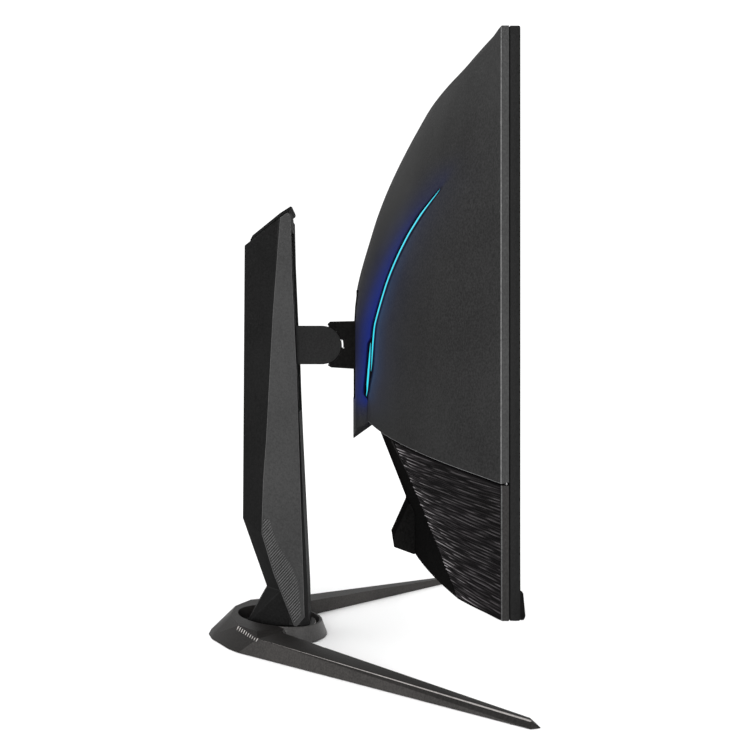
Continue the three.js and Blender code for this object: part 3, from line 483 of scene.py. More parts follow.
def lit_shell_material(values):
    """The rear shell's plastic with painted light: brighter towards the top as painted light from above, painted shade
    in and beside the groove, and a painted glow of the arc's light.
    """
    material = grain_material("shell_plastic", **values)
    tree = material.node_tree
    shader = tree.nodes["Principled BSDF"]
    plastic = shader.inputs["Base Color"].links[0].from_socket
    inner, outer, groove, outline = (attribute(tree, name) for name in ("glow_in", "glow_out", "groove", "outline"))
    place = add_node(tree, "ShaderNodeTexCoord")
    parts = add_node(tree, "ShaderNodeSeparateXYZ")
    tree.links.new(place.outputs["Object"], parts.inputs["Vector"])
    # Painted light from above: the plastic is up to 1.45 times brighter from 0.33 m to 0.46 m up.
    height = add_node(tree, "ShaderNodeMapRange")
    height.inputs["From Min"].default_value, height.inputs["From Max"].default_value = 0.33, 0.46
    tree.links.new(parts.outputs["Z"], height.inputs["Value"])
    shaded = mixed(tree, "MULTIPLY", plastic, (1.45, 1.45, 1.45, 1), height.outputs["Result"])
    # Painted glow: the plastic turns darker and bluer where the arc's light falls towards the shield.
    shaded = mixed(tree, "MULTIPLY", shaded, (0.25, 0.45, 0.6, 1), inner)
    # Painted shade in the groove, and along the groove's edges.
    shaded = mixed(tree, "MULTIPLY", shaded, (0.04, 0.04, 0.06, 1), groove)
    shaded = mixed(tree, "MULTIPLY", shaded, (0.1, 0.14, 0.25, 1), outline)
    tree.links.new(shaded, shader.inputs["Base Color"])
    # Painted glow: the shell itself emits the arc's light, and none where shade is painted.
    towards = ramp(tree, [
        (0.0, (0, 0, 0)), (0.3, (0.001, 0.002, 0.03)), (0.65, (0.002, 0.007, 0.105)), (1.0, (0.003, 0.01, 0.18)),
    ], inner)
    away = ramp(tree, [
        (0.0, (0, 0, 0)), (0.35, (0.002, 0.004, 0.016)), (0.7, (0.003, 0.013, 0.046)), (1.0, (0.003, 0.03, 0.09)),
    ], outer)
    total = mixed(tree, "ADD", towards, away)
    total = mixed(tree, "MULTIPLY", total, (0.04, 0.04, 0.04, 1), groove)
    total = mixed(tree, "MULTIPLY", total, (0.1, 0.2, 0.3, 1), outline)
    tree.links.new(total, shader.inputs["Emission Color"])
    set_shader(shader, Emission_Strength=1.0)
    return material


def strata_material():
    """Black plastic moulded in long fine streaks, with painted highlights on their crests, where they catch the light.
    """
    material, tree, shader, place = node_material("strata_plastic")
    streak = noise(tree, stretched(tree, place, (45.0, 45.0, 1300.0)), 1.0, 3.0, 0.7)
    total = added(tree, streak, 0.3, attribute(tree, "ridge"))
    # Painted highlight: the colour rises steeply from the valleys to the crests.
    colour = ramp(tree, [
        (0.13, (0.0011, 0.0009, 0.001)), (0.27, (0.0034, 0.003, 0.0032)), (0.5, (0.0135, 0.0122, 0.0128)),
        (0.75, (0.042, 0.0385, 0.04)), (1.0, (0.2, 0.187, 0.193)),
    ], total)
    tree.links.new(colour, shader.inputs["Base Color"])
    gloss = ramp(tree, [(0.3, (0.6,) * 3), (0.9, (0.42,) * 3)], total)
    tree.links.new(gloss, shader.inputs["Roughness"])
    moulded(tree, shader, streak, 0.4)
    set_shader(shader, Specular_IOR_Level=0.015)
    return material


def light_material():
    """Lit acrylic: bright along its crown, dark down its sides."""
    material, tree, shader, place = node_material("lit_acrylic")
    total = added(tree, noise(tree, place, 60.0), 0.16, attribute(tree, "core"))
    colour = ramp(tree, [
        (0.16, (0.0, 0.004, 0.016)), (0.36, (0.0, 0.12, 0.32)), (0.62, (0.01, 0.5, 0.74)), (0.95, (0.03, 0.8, 0.97)),
    ], total)
    tree.links.new(colour, shader.inputs["Emission Color"])
    set_shader(shader, Base_Color=(0.0004, 0.002, 0.005, 1), Emission_Strength=1.0, Roughness=0.3,
               Specular_IOR_Level=0.2)
    return material


def screen_material():
    """A switched-off panel with a matt anti-glare coating."""
    material, tree, shader, place = node_material("panel_glass")
    slow = noise(tree, place, 5.0)
    colour = ramp(tree, [(0.3, (0.0035, 0.0035, 0.0045)), (0.7, (0.006, 0.006, 0.007))], slow)
    tree.links.new(colour, shader.inputs["Base Color"])
    moulded(tree, shader, noise(tree, place, 2600.0), 0.06, 0.0001)
    set_shader(shader, Roughness=0.26, Specular_IOR_Level=0.3)
    return material


def board_material():
    """A green circuit board with small gold pads."""
    material, tree, shader, place = node_material("circuit_board")
    cells = add_node(tree, "ShaderNodeTexVoronoi", Scale=260.0)
    cells.distance = "CHEBYCHEV"
    tree.links.new(place, cells.inputs["Vector"])
    colour = ramp(tree, [
        (0.0, (0.25, 0.2, 0.05)), (0.12, (0.02, 0.1, 0.035)), (0.6, (0.012, 0.07, 0.022)),
    ], cells.outputs["Distance"])
    tree.links.new(colour, shader.inputs["Base Color"])
    set_shader(shader, Roughness=0.45)
    return material


def grey(value, warmth=0.0):
    return (value * (1 + warmth), value, value * (1 - warmth * 0.6))


def finish(dark, light, warmth=0.0, **more):
    """The values of a finish whose tone drifts between two greys, a little warm where asked."""
    return {"dark": grey(dark, warmth), "light": grey(light, warmth), **more}


FINISHES = {
    "shell": finish(0.0093, 0.0195, rough=(0.6, 0.74), bump=0.35, specular=0.02),
    "shell_rim": finish(0.0125, 0.0225),
    # Finishes named _edge, here and below, are painted highlights for eased edges.
    "shell_edge": finish(0.07, 0.12, rough=(0.4, 0.5), specular=0.1),
    "textured_rim": finish(0.0075, 0.014, 0.04, specular=0.04),
    "textured_edge": finish(0.03, 0.055, rough=(0.45, 0.58), specular=0.08),
    "black": finish(0.0022, 0.005, 0.03, rough=(0.6, 0.72), bump=0.2, specular=0.0),
    "frame": finish(0.0033, 0.0064, specular=0.03),
    "column": finish(0.0036, 0.0076, rough=(0.55, 0.68), bump=0.35, specular=0.02),
    "column_edge": finish(0.005, 0.0095, rough=(0.5, 0.6), specular=0.04),
    "arm": finish(0.0052, 0.0108, rough=(0.55, 0.68), bump=0.35, specular=0.03),
    "trim": finish(0.014, 0.026, bump=0.4, specular=0.06),
    # The base finish is the darker, shaded copy for the casting's tops and tail; the two finishes after base_edge are
    # its lit copies.
    "base": finish(0.0068, 0.0152, 0.07, rough=(0.46, 0.58), specular=0.08),
    "base_edge": finish(0.15, 0.26, 0.06, rough=(0.36, 0.46), specular=0.3),
    "base_side": finish(0.0135, 0.028, 0.07, rough=(0.42, 0.54), specular=0.12),
    "base_ring": finish(0.016, 0.031, 0.05, rough=(0.34, 0.44), specular=0.3),
    "rubber": finish(0.006, 0.014, rough=(0.75, 0.9), bump=0.4),
    "backlight": finish(0.5, 0.65, scale=600.0, bump=0.1),
    "steel": finish(0.34, 0.55, rough=(0.3, 0.45), scale=400.0, bump=0.12, metallic=1.0, specular=0.5,
                    stretch=(1, 1, 0.12)),
}
# Eased edges are painted this many times brighter, a painted highlight.
EDGE_HIGHLIGHT_GAIN = 2.1


def with_edge_highlight(values):
    """The same finish made a painted highlight for eased edges: brighter, and smoother and glossier too."""
    changed = dict(values)
    for key in ("dark", "light"):
        changed[key] = tuple(min(0.8, v * EDGE_HIGHLIGHT_GAIN) for v in values[key])
    low, high = values.get("rough", (0.5, 0.62))
    changed["rough"] = (low - 0.12, high - 0.12)
    changed["specular"] = min(0.5, values.get("specular", 0.05) * 1.8)
    return changed


PAINTS = {
    "textured": strata_material(), "light": light_material(), "panel": screen_material(), "board": board_material(),
}
for finish_name, values in FINISHES.items():
    PAINTS[finish_name] = grain_material(finish_name, **values)
# Copies of these finishes with a painted highlight, for eased edges.
for finish_name in ("black", "frame", "arm", "trim", "rubber", "backlight", "steel"):
    PAINTS[finish_name + "_edge"] = grain_material(finish_name + "_edge", **with_edge_highlight(FINISHES[finish_name]))
PAINTS["shell"] = lit_shell_material(FINISHES["shell"])
# Painted highlight for the crests of the panel's hatch ribs.
PAINTS["hatch_crest_highlight"] = grain_material("hatch_crest_highlight", grey(0.06), grey(0.095), specular=0.1)
for finish_name in ("light", "panel", "board"):
    PAINTS[finish_name + "_edge"] = PAINTS[finish_name]


# ------------------------------------------------------------ rear shell
GROOVE_DEPTH = 0.4
GROOVE_END_Z = 200.5
BLADE_INSET = 2.8
BLADE_WIDTH = 5.3
GROOVE_MARGIN = 2.8
MAIN_END_Z, TAIL_START_Z, TAIL_END_Z = 242.0, 265.5, 220.5
GLOW_END = 0.9
# Width of the painted shade line beyond the groove's edges.
EDGE_SHADE_WIDTH = 0.55


def arc_share(z):
    """The share of the arc's length at which it comes down to height z."""
    return float(np.interp(-z, -ARC[:, 1], ARC_SHARES))


def tip_share(z):
    """How much of its full width the light and its groove have near the arc's upper tip."""
    return 0.25 + 0.75 * smooth01((372.5 - z) / 17.0)


def main_inset(z):
    """How far inside the fold the main strip starts."""
    return BLADE_INSET * tip_share(z)


def tail_inset(z):
    """How far inside the fold the short lower strip starts: beside the main strip, then right on the fold."""
    return np.interp(z, (221.0, 226.0, 243.0, 265.0), (2.8, 2.8, 9.3, 8.6))


def groove_width(z):
    """Width of the dark groove that holds the lit strips, and runs on below them as a thin line."""
    one = BLADE_INSET * tip_share(z) + BLADE_WIDTH * tip_share(z) + GROOVE_MARGIN
    two = tail_inset(z) + BLADE_WIDTH + GROOVE_MARGIN
    wide = one + (two - one) * smooth01((270.0 - z) / 5.0)
    return 2.4 + (wide - 2.4) * smooth01((z - 217.0) / 5.0)


def shell_columns(z):
    """x of each column of the right half at height z, with its depth below the dome."""
    edge = float(light_x(z))
    crease = float(crease_x(z))
    depth = GROOVE_DEPTH * float(smooth01((371.5 - z) / 3.0) * smooth01((z - GROOVE_END_Z) / 3.0))
    inner = edge - float(groove_width(z))
    xs = [crease * i / 7 for i in range(7)]
    xs += [inner - (inner - crease) * (i / 14) ** 1.6 for i in range(14, 0, -1)]
    depths = [0.0] * len(xs)
    floor = [(inner + 0.4) + (edge - 0.8 - inner - 0.4) * i / 4 for i in range(5)]
    xs += [inner, *floor, edge - 0.4, edge]
    depths += [0.0, *[depth] * 5, 0.0, 0.0]
    xs += [edge + (HALF_WIDTH - edge) * (i / 32) ** 1.5 for i in range(1, 33)]
    depths += [0.0] * 32
    return np.array(xs), np.array(depths)


def rear_shell():
    heights = [TIP_Z, TIP_Z + 2.4, TIP_Z + 5.0]
    heights += list(np.linspace(TIP_Z + 8, HEAD_TOP - CHAMFER_HEIGHT - 2.4, 98))
    heights += [HEAD_TOP - CHAMFER_HEIGHT, HEAD_TOP - CHAMFER_HEIGHT / 2, HEAD_TOP]
    rows, hollow = [], []
    for z0 in heights:
        share = max(0.0, (300.0 - z0) / (300.0 - TIP_Z))
        xs, depths = shell_columns(z0)
        for _ in range(6):
            z = z0 + (lower_edge_z(xs) - TIP_Z) * share
            columns = [shell_columns(float(v)) for v in z]
            xs = np.array([c[0][k] for k, c in enumerate(columns)])
            depths = np.array([c[1][k] for k, c in enumerate(columns)])
        z = z0 + (lower_edge_z(xs) - TIP_Z) * share
        right = np.stack([xs, dome_y(xs, z) - depths, z], 1)
        left = right[:0:-1] * (-1, 1, 1)
        rows.append(np.concatenate([left, right]))
        hollow.append(np.concatenate([depths[:0:-1], depths]) / GROOVE_DEPTH)
    outer = np.array(rows)
    inner = outer.copy()
    x, z = outer[..., 0], outer[..., 2]
    inner[..., 1] = dome_y(x, z) - SHELL - lip(x)
    inner[0, :, 1] = np.minimum(inner[0, :, 1], plate_y(x[0], PLATE_TOP_Z) + GAP)
    fall = np.clip(outer[0, :, 1] - inner[0, :, 1] - SHELL, 0, None)
    inner[0, :, 2] = z[0] + UNDERSIDE_SLOPE * fall
    for r in range(1, 12):
        inner[r, :, 2] = np.maximum(inner[r, :, 2], inner[0, :, 2] + 0.6 * r)
        inner[r, :, 1] = np.minimum(inner[r, :, 1], dome_y(x[0], inner[r, :, 2]) - SHELL)
    # The groove's depth share is stored as the mask of painted shade in the groove.
    made = closed_sheet("rear_shell_skin", outer, inner, 0.5, {"groove": np.array(hollow)})
    half = POCKET_HALF - 0.2
    cutter = block("pocket_cutter", (-half, half), (-60, 20), (ARM_Z - half, ARM_Z + half))
    bevel(cutter, 3.0, 4)
    settle(cutter)
    boolean(made, cutter, "DIFFERENCE")
    paint_glow(made)
    paint_rim(made)
    shade(made, 11)
    return finish_piece(made, "head", "shell", ["rear_shell"], ("shell", "shell_edge", "shell_rim"))


def paint_rim(made):
    """Gives the narrow faces along the head's sides the rim's finish, and keeps the shield's end and pocket plain."""
    for polygon in made.data.polygons:
        if polygon.material_index == EDGE_SLOT and abs(polygon.center.x) / MM < NOTCH_X + 2.0:
            polygon.material_index = 0
        if abs(polygon.normal.x) > 0.95 and abs(polygon.center.x) / MM > HALF_WIDTH - 0.3:
            polygon.material_index = RIM_SLOT


def points_of(made):
    co = np.empty(len(made.data.vertices) * 3)
    made.data.vertices.foreach_get("co", co)
    return co.reshape(-1, 3) / MM


def store(made, name, values):
    layer = made.data.attributes.new(name, "FLOAT", "POINT")
    layer.data.foreach_set("value", np.asarray(values, np.float32))


def paint_glow(made):
    """Stores how strongly the painted glow of the arc's light washes each point, towards the shield and away from it,
    and a painted shade over the groove and just beyond its edges.
    """
    co = points_of(made)
    flat = np.stack([np.abs(co[:, 0]) * 0.12, co[:, 1], co[:, 2]], 1)
    share = np.linspace(0.0, GLOW_END, 170)
    line = arc_point(share)
    spots = np.stack([line[:, 0] * 0.12, dome_y(line[:, 0], line[:, 1]), line[:, 1]], 1)
    away = np.full(len(flat), 1e9)
    nearest = np.zeros(len(flat), int)
    for k, spot in enumerate(spots):
        distance = np.linalg.norm(flat - spot, axis=1)
        closer = distance < away
        away[closer], nearest[closer] = distance[closer], k
    tangent = np.gradient(line, axis=0)
    tangent /= np.linalg.norm(tangent, axis=1)[:, None]
    offset = np.stack([np.abs(co[:, 0]), co[:, 2]], 1) - line[nearest]
    length = np.linalg.norm(offset, axis=1) + 1e-6
    side = (tangent[nearest, 0] * offset[:, 1] - tangent[nearest, 1] * offset[:, 0]) / length
    inside = 0.5 - 0.5 * np.clip(side * 3, -1, 1)
    along = np.interp(share[nearest] / GLOW_END, (0.0, 0.15, 0.35, 0.6, 0.9, 1.0), (0.25, 0.5, 0.75, 1.0, 1.0, 0.85))
    x, z = np.abs(co[:, 0]), co[:, 2]
    edge = light_x(z)
    start = edge - groove_width(z)
    beyond = np.where(x > edge, np.abs(dome_y(x, z) - dome_y(edge, z)), np.where(x < start, np.abs(dome_y(start, z) - dome_y(x, z)), 0.0))
    # Painted shade over the groove and a thin line beyond its edges, fading out at its ends.
    groove_edge_shade = (1.0 - smooth01((beyond - EDGE_SHADE_WIDTH) / 0.5)) * smooth01((372.0 - z) / 3.0) * smooth01((z - TAIL_END_Z) / 6.0)
    store(made, "outline", groove_edge_shade)
    store(made, "glow_in", inside * along * np.exp(-((away / 14.0) ** 2.1)))
    store(made, "glow_out", (1 - inside) * along * np.exp(-((away / 10.0) ** 1.25)))


def light_blade(name, side, start, end, inset_of, taper, replaces=()):
    """A lit strip along part of the arc, on the slope that rises to the shield, tapering at its ends."""
    count = 110
    outline = [(0.0, -1.3, 0.0), (0.0, -0.36, 0.0), (0.14, -0.25, 0.0), (0.2, -0.05, 0.7), (0.3, 0.06, 1.0),
               (0.7, 0.08, 1.0), (0.8, -0.02, 0.7), (0.86, -0.25, 0.0), (1.0, -0.36, 0.0), (1.0, -1.3, 0.0)]
    points, core = [], []
    for i in range(count):
        share = i / (count - 1)
        x, z = arc_point(start + (end - start) * share)
        thin = min(1.0, (share / taper[0]) ** 0.75 + 0.04, ((1 - share) / taper[1]) ** 0.75 + 0.04)
        tip = float(tip_share(z))
        width = BLADE_WIDTH * thin * tip
        first = float(inset_of(z)) + (BLADE_WIDTH * tip - width) * 0.5
        for across, up, lit in outline:
            px = x - first - across * width
            points.append((side * px, float(dome_y(px, z)) + up * min(1.0, 0.3 + thin), z))
            core.append(lit)
    made = outward(from_mm(name, points, loft_faces(count, len(outline))))
    store(made, "core", core)
    shade(made, 70)
    return finish_piece(made, "head", "light", replaces, ("light",))


# ------------------------------------------------------------ lower covers
RIDGE_HEIGHT = 0.85
SEAM_GAP = 0.9


def noise2(table, u, v):
    """Smooth value noise at cell coordinates (u, v), from a table that repeats."""
    rows, columns = table.shape
    i, j = np.floor(v).astype(int), np.floor(u).astype(int)
    fv, fu = smooth01(v - i), smooth01(u - j)

    def at(a, b):
        return table[a % rows, b % columns]

    low = at(i, j) * (1 - fu) + at(i, j + 1) * fu
    high = at(i + 1, j) * (1 - fu) + at(i + 1, j + 1) * fu
    return low * (1 - fv) + high * fv


def strata(x, z, seed):
    """Long fine streaks that run across, from 0 in the valleys to 1 on the crests."""
    rng = np.random.default_rng(seed)
    tables = [rng.random((97, 61)) for _ in range(2)]
    z = z + 0.065 * x + 1.8 * noise2(tables[0], x / 48, z / 19) + 0.6 * noise2(tables[1], x / 20, z / 7)
    field = np.zeros(z.shape)
    for pitch, length, share in ((2.1, 11.0, 1.0), (1.35, 8.5, 0.62)):
        table = rng.random((211, 61))
        lean = rng.random(211)
        row = np.floor(z / pitch).astype(int)
        within = z / pitch - row
        shifted = within ** (0.75 + 0.6 * lean[row % 211])
        crest = np.sin(math.pi * shifted) ** 2.8
        u = x / length + 7.3 * lean[row % 211]
        step = np.floor(u).astype(int)
        fade = smooth01(u - step)
        strength = table[row % 211, step % 61] * (1 - fade) + table[row % 211, (step + 1) % 61] * fade
        field = np.maximum(field, share * crest * np.clip(strength * 1.5 - 0.16, 0.12, 1.0))
    return field


def rounded(distance, radius):
    """How far a rounded edge falls away at a distance from it."""
    inside = np.clip(radius - distance, 0, radius)
    return radius - np.sqrt(radius**2 - inside**2)


def lower_cover(name, side, seed):
    rows, columns = 340, 110
    v = np.linspace(0, 1, rows)[:, None]
    u = np.concatenate([np.linspace(0, 1, columns - 2)[:-1] ** 0.92, (0.988, 0.995, 1.0)])[None, :]
    start = WING_BOTTOM_X + GAP + (WING_TOP_X - WING_BOTTOM_X) * v
    x = start + (HALF_WIDTH - start) * u
    top = seam_z(x) - SEAM_GAP
    z = HEAD_BOTTOM + (top - HEAD_BOTTOM) * v
    y = lower_y(x, z)
    rim = np.minimum(np.minimum(HALF_WIDTH - x, top - z), z - HEAD_BOTTOM)
    # Streaks stand taller, and their painted highlights are brighter, near the inner edge.
    bright = np.minimum(1.0, 0.54 + 0.6 * np.exp(-(x - start) / 24.0))
    ridge = strata(x, z, seed) * bright
    faded = ridge * smooth01((rim - 0.7) / 1.2)
    lift = (faded - 1.0) * RIDGE_HEIGHT * smooth01(rim / 1.5) - rounded(rim, 0.7) - rounded(x - start, 0.8)
    outer = np.stack([side * x, y + lift, z], 2)
    inner = np.stack([side * x, y - SHELL - lip(x), z], 2)
    made = closed_sheet(name, outer, inner, 0.0, {"ridge": faded})
    # Faces along the outer side edge take the edge slot, a painted highlight line.
    slots = np.zeros((rows - 1, columns - 1), int)
    near = HALF_WIDTH - (x[1:, 1:] + x[:-1, :-1]) / 2 < 0.5
    slots[near] = EDGE_SLOT
    indices = np.zeros(len(made.data.polygons), int)
    indices[: slots.size] = slots.ravel()
    made.data.polygons.foreach_set("material_index", indices)
    paint_rim(made)
    shade(made, 75)
    return finish_piece(made, "head", "textured", [name.replace("_skin", "")],
                        ("textured", "textured_edge", "textured_rim"))


def centre_plate():
    rows, columns = 64, 97
    v = np.linspace(0, 1, rows)[:, None]
    u = np.linspace(-1, 1, columns)[None, :]
    side_top = float(seam_z(WING_TOP_X)) - GAP
    half = WING_BOTTOM_X + (WING_TOP_X - WING_BOTTOM_X) * v
    x = half * u
    top_x, top_z = [0, 25, 76, 118, 127, 132, 157], [202.5, 202.5, 210.5, 202, 198, 193.8, side_top]
    tall = np.interp(np.abs(x), top_x, top_z)
    z = HEAD_BOTTOM + (np.maximum(tall, side_top) - HEAD_BOTTOM) * v
    outer = np.stack([x, plate_y(x, z), z], 2)
    inner = outer - (0, SHELL - 0.2, 0)
    made = closed_sheet("centre_plate_skin", outer, inner, 0.7)
    for node, extra in (("joystick_cap", 1.8), ("power_button", -1.1)):
        low, high = box_mm(node)
        centre = ((low[0] + high[0]) / 2, (low[2] + high[2]) / 2)
        radius = (high[0] - low[0]) / 2 + extra
        boolean(made, cylinder("hole", "y", (-100, -30), centre, radius), "DIFFERENCE")
    shade(made, 25)
    return finish_piece(made, "head", "black", ["centre_plate"])


# ------------------------------------------------------------ display front
def curved_plate(name, xs, zs, keep, near, depth):
    """A closed plate over the kept cells of an (x, z) grid, following the screen's curve."""
    bm = bmesh.new()
    verts = {}
    for i, x in enumerate(xs):
        for j, z in enumerate(zs):
            verts[i, j] = bm.verts.new((x * MM, (float(front_y(x)) + near) * MM, z * MM))
    faces = []
    for i in range(len(xs) - 1):
        for j in range(len(zs) - 1):
            if keep((xs[i] + xs[i + 1]) / 2, (zs[j] + zs[j + 1]) / 2):
                corners = (verts[i, j], verts[i + 1, j], verts[i + 1, j + 1], verts[i, j + 1])
                faces.append(bm.faces.new(corners))
    bmesh.ops.delete(bm, geom=[v for v in bm.verts if not v.link_faces], context="VERTS")
    moved = bmesh.ops.extrude_face_region(bm, geom=faces, use_keep_orig=True)
    back = [part for part in moved["geom"] if isinstance(part, bmesh.types.BMVert)]
    bmesh.ops.translate(bm, verts=back, vec=(0, depth * MM, 0))
    bmesh.ops.recalc_face_normals(bm, faces=bm.faces)
    return from_bmesh(name, bm)


def weigh_edges(made, weight_of, sharp_degrees=40.0):
    """Gives each sharp edge the bevel weight that weight_of says for its middle, in millimetres."""
    bm = bmesh.new()
    bm.from_mesh(made.data)
    layer = bm.edges.layers.float.new("bevel_weight_edge")
    for edge in bm.edges:
        if edge.calc_face_angle(0.0) > math.radians(sharp_degrees):
            middle = (edge.verts[0].co + edge.verts[1].co) / 2 / MM
            edge[layer] = weight_of(middle)
    bm.to_mesh(made.data)
    bm.free()


def display_front():
    inner_x = HALF_WIDTH - SIDE_BORDER
    inner_low, inner_high = HEAD_BOTTOM + CHIN_HEIGHT, HEAD_TOP - TOP_BORDER
    xs = [-HALF_WIDTH, *np.linspace(-inner_x, inner_x, 73), HALF_WIDTH]
    zs = [HEAD_BOTTOM, inner_low, (inner_low + inner_high) / 2, inner_high, HEAD_TOP]
    ring = curved_plate("front_frame_ring", xs, zs,
                        lambda x, z: abs(x) > inner_x or z < inner_low or z > inner_high, 0.0, FRAME_DEPTH)

    def weight_of(point):
        outside = abs(point.x) > HALF_WIDTH - 0.1 or point.z > HEAD_TOP - 0.1 or point.z < HEAD_BOTTOM + 0.1
        forward = point.y < float(front_y(point.x)) + 0.1
        return 1.0 if outside and forward else 0.3

    weigh_edges(ring, weight_of)
    bevel(ring, 1.4, 3, weights=True)
    settle(ring)
    shade(ring, 35)
    finish_piece(ring, "head", "frame", ["front_frame"], ("frame", "frame"))
    half = inner_x - GAP
    xs = list(np.linspace(-half, half, 73))
    panel = curved_plate("lcd_sheet", xs, [inner_low + GAP, inner_high - GAP], lambda x, z: True, 0.8, 2.0)
    bevel(panel, 0.2, 1, angle=40)
    settle(panel)
    shade(panel, 35)
    finish_piece(panel, "head", "panel", ["lcd_panel"])


def chin_strip():
    low, high = box_mm("chin_trim")
    z0, z1 = low[2], high[2]
    profile = [
        (0.0, z0), (-2.0, z0), (-3.0, z0 + 1.6), (-3.2, z0 + 3.0), (-1.9, z1 - 1.5), (-1.0, z1), (0.0, z1),
    ]
    stations = np.linspace(low[0], high[0], 81)
    points = [(x, float(front_y(x)) - GAP + y, z) for x in stations for y, z in profile]
    made = outward(from_mm("chin_strip", points, loft_faces(len(stations), len(profile))))
    bevel(made, 0.4, 2, angle=50)
    settle(made)
    shade(made, 30)
    return finish_piece(made, "head", "black", ["chin_trim"])


# ------------------------------------------------------------ column details
def cross2(a, b):
    return a.x * b.y - a.y * b.x


def clip_line(polygon, point, direction):
    """Where a line crosses a polygon's sides: the lowest and highest distance along it, or None."""
    crossings = []
    for a, b in zip(polygon, polygon[1:] + polygon[:1]):
        a, b = Vector(a), Vector(b)
        turn = cross2(b - a, direction)
        if abs(turn) < 1e-9:
            continue
        share = cross2(point - a, direction) / turn
        if 0 <= share < 1:
            crossings.append((a + (b - a) * share - point).dot(direction))
    return (min(crossings), max(crossings)) if len(crossings) >= 2 else None


def ribs(name, spans, across, out, body, slot, sections, paint):
    """Short raised ribs, each from one point to another, as (share of its length, height, half width) sections."""
    points, faces = [], []
    for start, end in spans:
        base = len(points)
        for share, height, half in sections:
            middle = start.lerp(end, share)
            points += [middle - across * half - out * 0.2, middle + out * height, middle + across * half - out * 0.2]
        last = base + 3 * (len(sections) - 1)
        for p in range(base, last, 3):
            faces += [(p + q, p + (q + 1) % 3, p + 3 + (q + 1) % 3, p + 3 + q) for q in range(3)]
        faces += [(base, base + 1, base + 2), (last + 2, last + 1, last)]
    made = outward(from_mm(name, points, faces))
    return finish_piece(made, body, slot, (), (paint,))


def hatch(name, side):
    """Fine slanting ribs that thin out towards the front, on the lower end of a side panel."""
    face = box_mm("column_panel_right")[1][0]
    region = [(77.9, 110.5), (79.0, 106.0), (79.0, 97.4), (69.1, 63.4), (51.4, 18.6), (49.4, 19.0), (43.8, 26.0),
              (44.0, 40.0), (44.8, 56.0), (52.0, 73.0), (64.0, 89.0), (71.5, 110.5)]
    run = Vector((-0.67, 0.742)).normalized()
    step = Vector((run.y, -run.x))
    pitch = 2.0
    spans = []
    for i in range(-70, 70):
        start = Vector((60.0, 60.0)) + step * pitch * i
        span = clip_line(region, start, run)
        if span and span[1] - span[0] > 1.5:
            ends = [start + run * (span[0] + 0.4), start + run * span[1]]
            spans.append([Vector((side * face, end.x, end.y)) for end in ends])
    across, out = Vector((0, step.x, step.y)), Vector((side, 0, 0))
    # The ribs take the lighter crest paint: a painted highlight.
    ribs(name, spans, across, out, "column", "trim", ((0.0, 0.1, 0.5), (0.03, 0.36, 0.5), (0.55, 0.3, 0.46), (1.0, -0.15, 0.4)),
         "hatch_crest_highlight")
    # Low strips between the ribs, painted black: painted shade in the valleys.
    between = [[point + across * pitch * 0.5 for point in span] for span in spans]
    ribs(name + "_valleys", between, across, out, "column", "trim", ((0.0, 0.07, 0.5), (0.6, 0.07, 0.42), (1.0, 0.02, 0.08)), "black")


def bracket_gap_shade():
    """A thin black sheet in the bracket's round seat, painted shade in the gap round the arm's end, open where
    daylight shows past it.
    """
    pieces = bmesh.new()
    for first, last, inner, outer in ((17.0, 70.0, 17.25, 18.3), (-70.0, -6.0, 17.25, 18.3), (-6.5, 17.5, 19.3, 20.2)):
        count = 28
        rings = []
        for i in range(count + 1):
            turn = math.radians(first + (last - first) * i / count)
            corners = [(-19.0, inner), (19.0, inner), (19.0, outer), (-19.0, outer)]
            rings.append([
                pieces.verts.new((x * MM, (TILT_Y - r * math.cos(turn)) * MM, (ARM_Z + r * math.sin(turn)) * MM))
                for x, r in corners
            ])
        for a, b in zip(rings, rings[1:]):
            for k in range(4):
                pieces.faces.new((a[k], a[(k + 1) % 4], b[(k + 1) % 4], b[k]))
        pieces.faces.new(rings[0])
        pieces.faces.new(rings[-1][::-1])
    made = outward(from_bmesh("bracket_gap_shade", pieces))
    shade(made, 40)
    return finish_piece(made, "head", "black", (), ("black",))


# ------------------------------------------------------------ base
def mirrored(points):
    return [(side * x, y, z) for x, y, z in points for side in (1, -1)]


FOOT_ROOT = (61.0, 97.0)
SHOULDER = (48.0, 97.6, 20.6)
RIDGE_START = (71.6, 79.4, 15.4)
RIDGE_END = (239.6, -124.4, 5.0)
HUB_INNER = 37.2


def circle(radius, z, sides=96):
    turns = [2 * math.pi * i / sides for i in range(sides)]
    return [(radius * math.cos(turn), SWIVEL_Y + radius * math.sin(turn), z) for turn in turns]


def cast_edge_weight(point):
    """Only the long outer ridges of the feet are eased."""
    start, end = Vector(RIDGE_START), Vector(RIDGE_END)
    here = Vector((abs(point.x), point.y, point.z))
    way = (end - start).normalized()
    along = (here - start).dot(way)
    return 1.0 if along > 0 and (here - start - way * along).length < 1.0 else 0.0


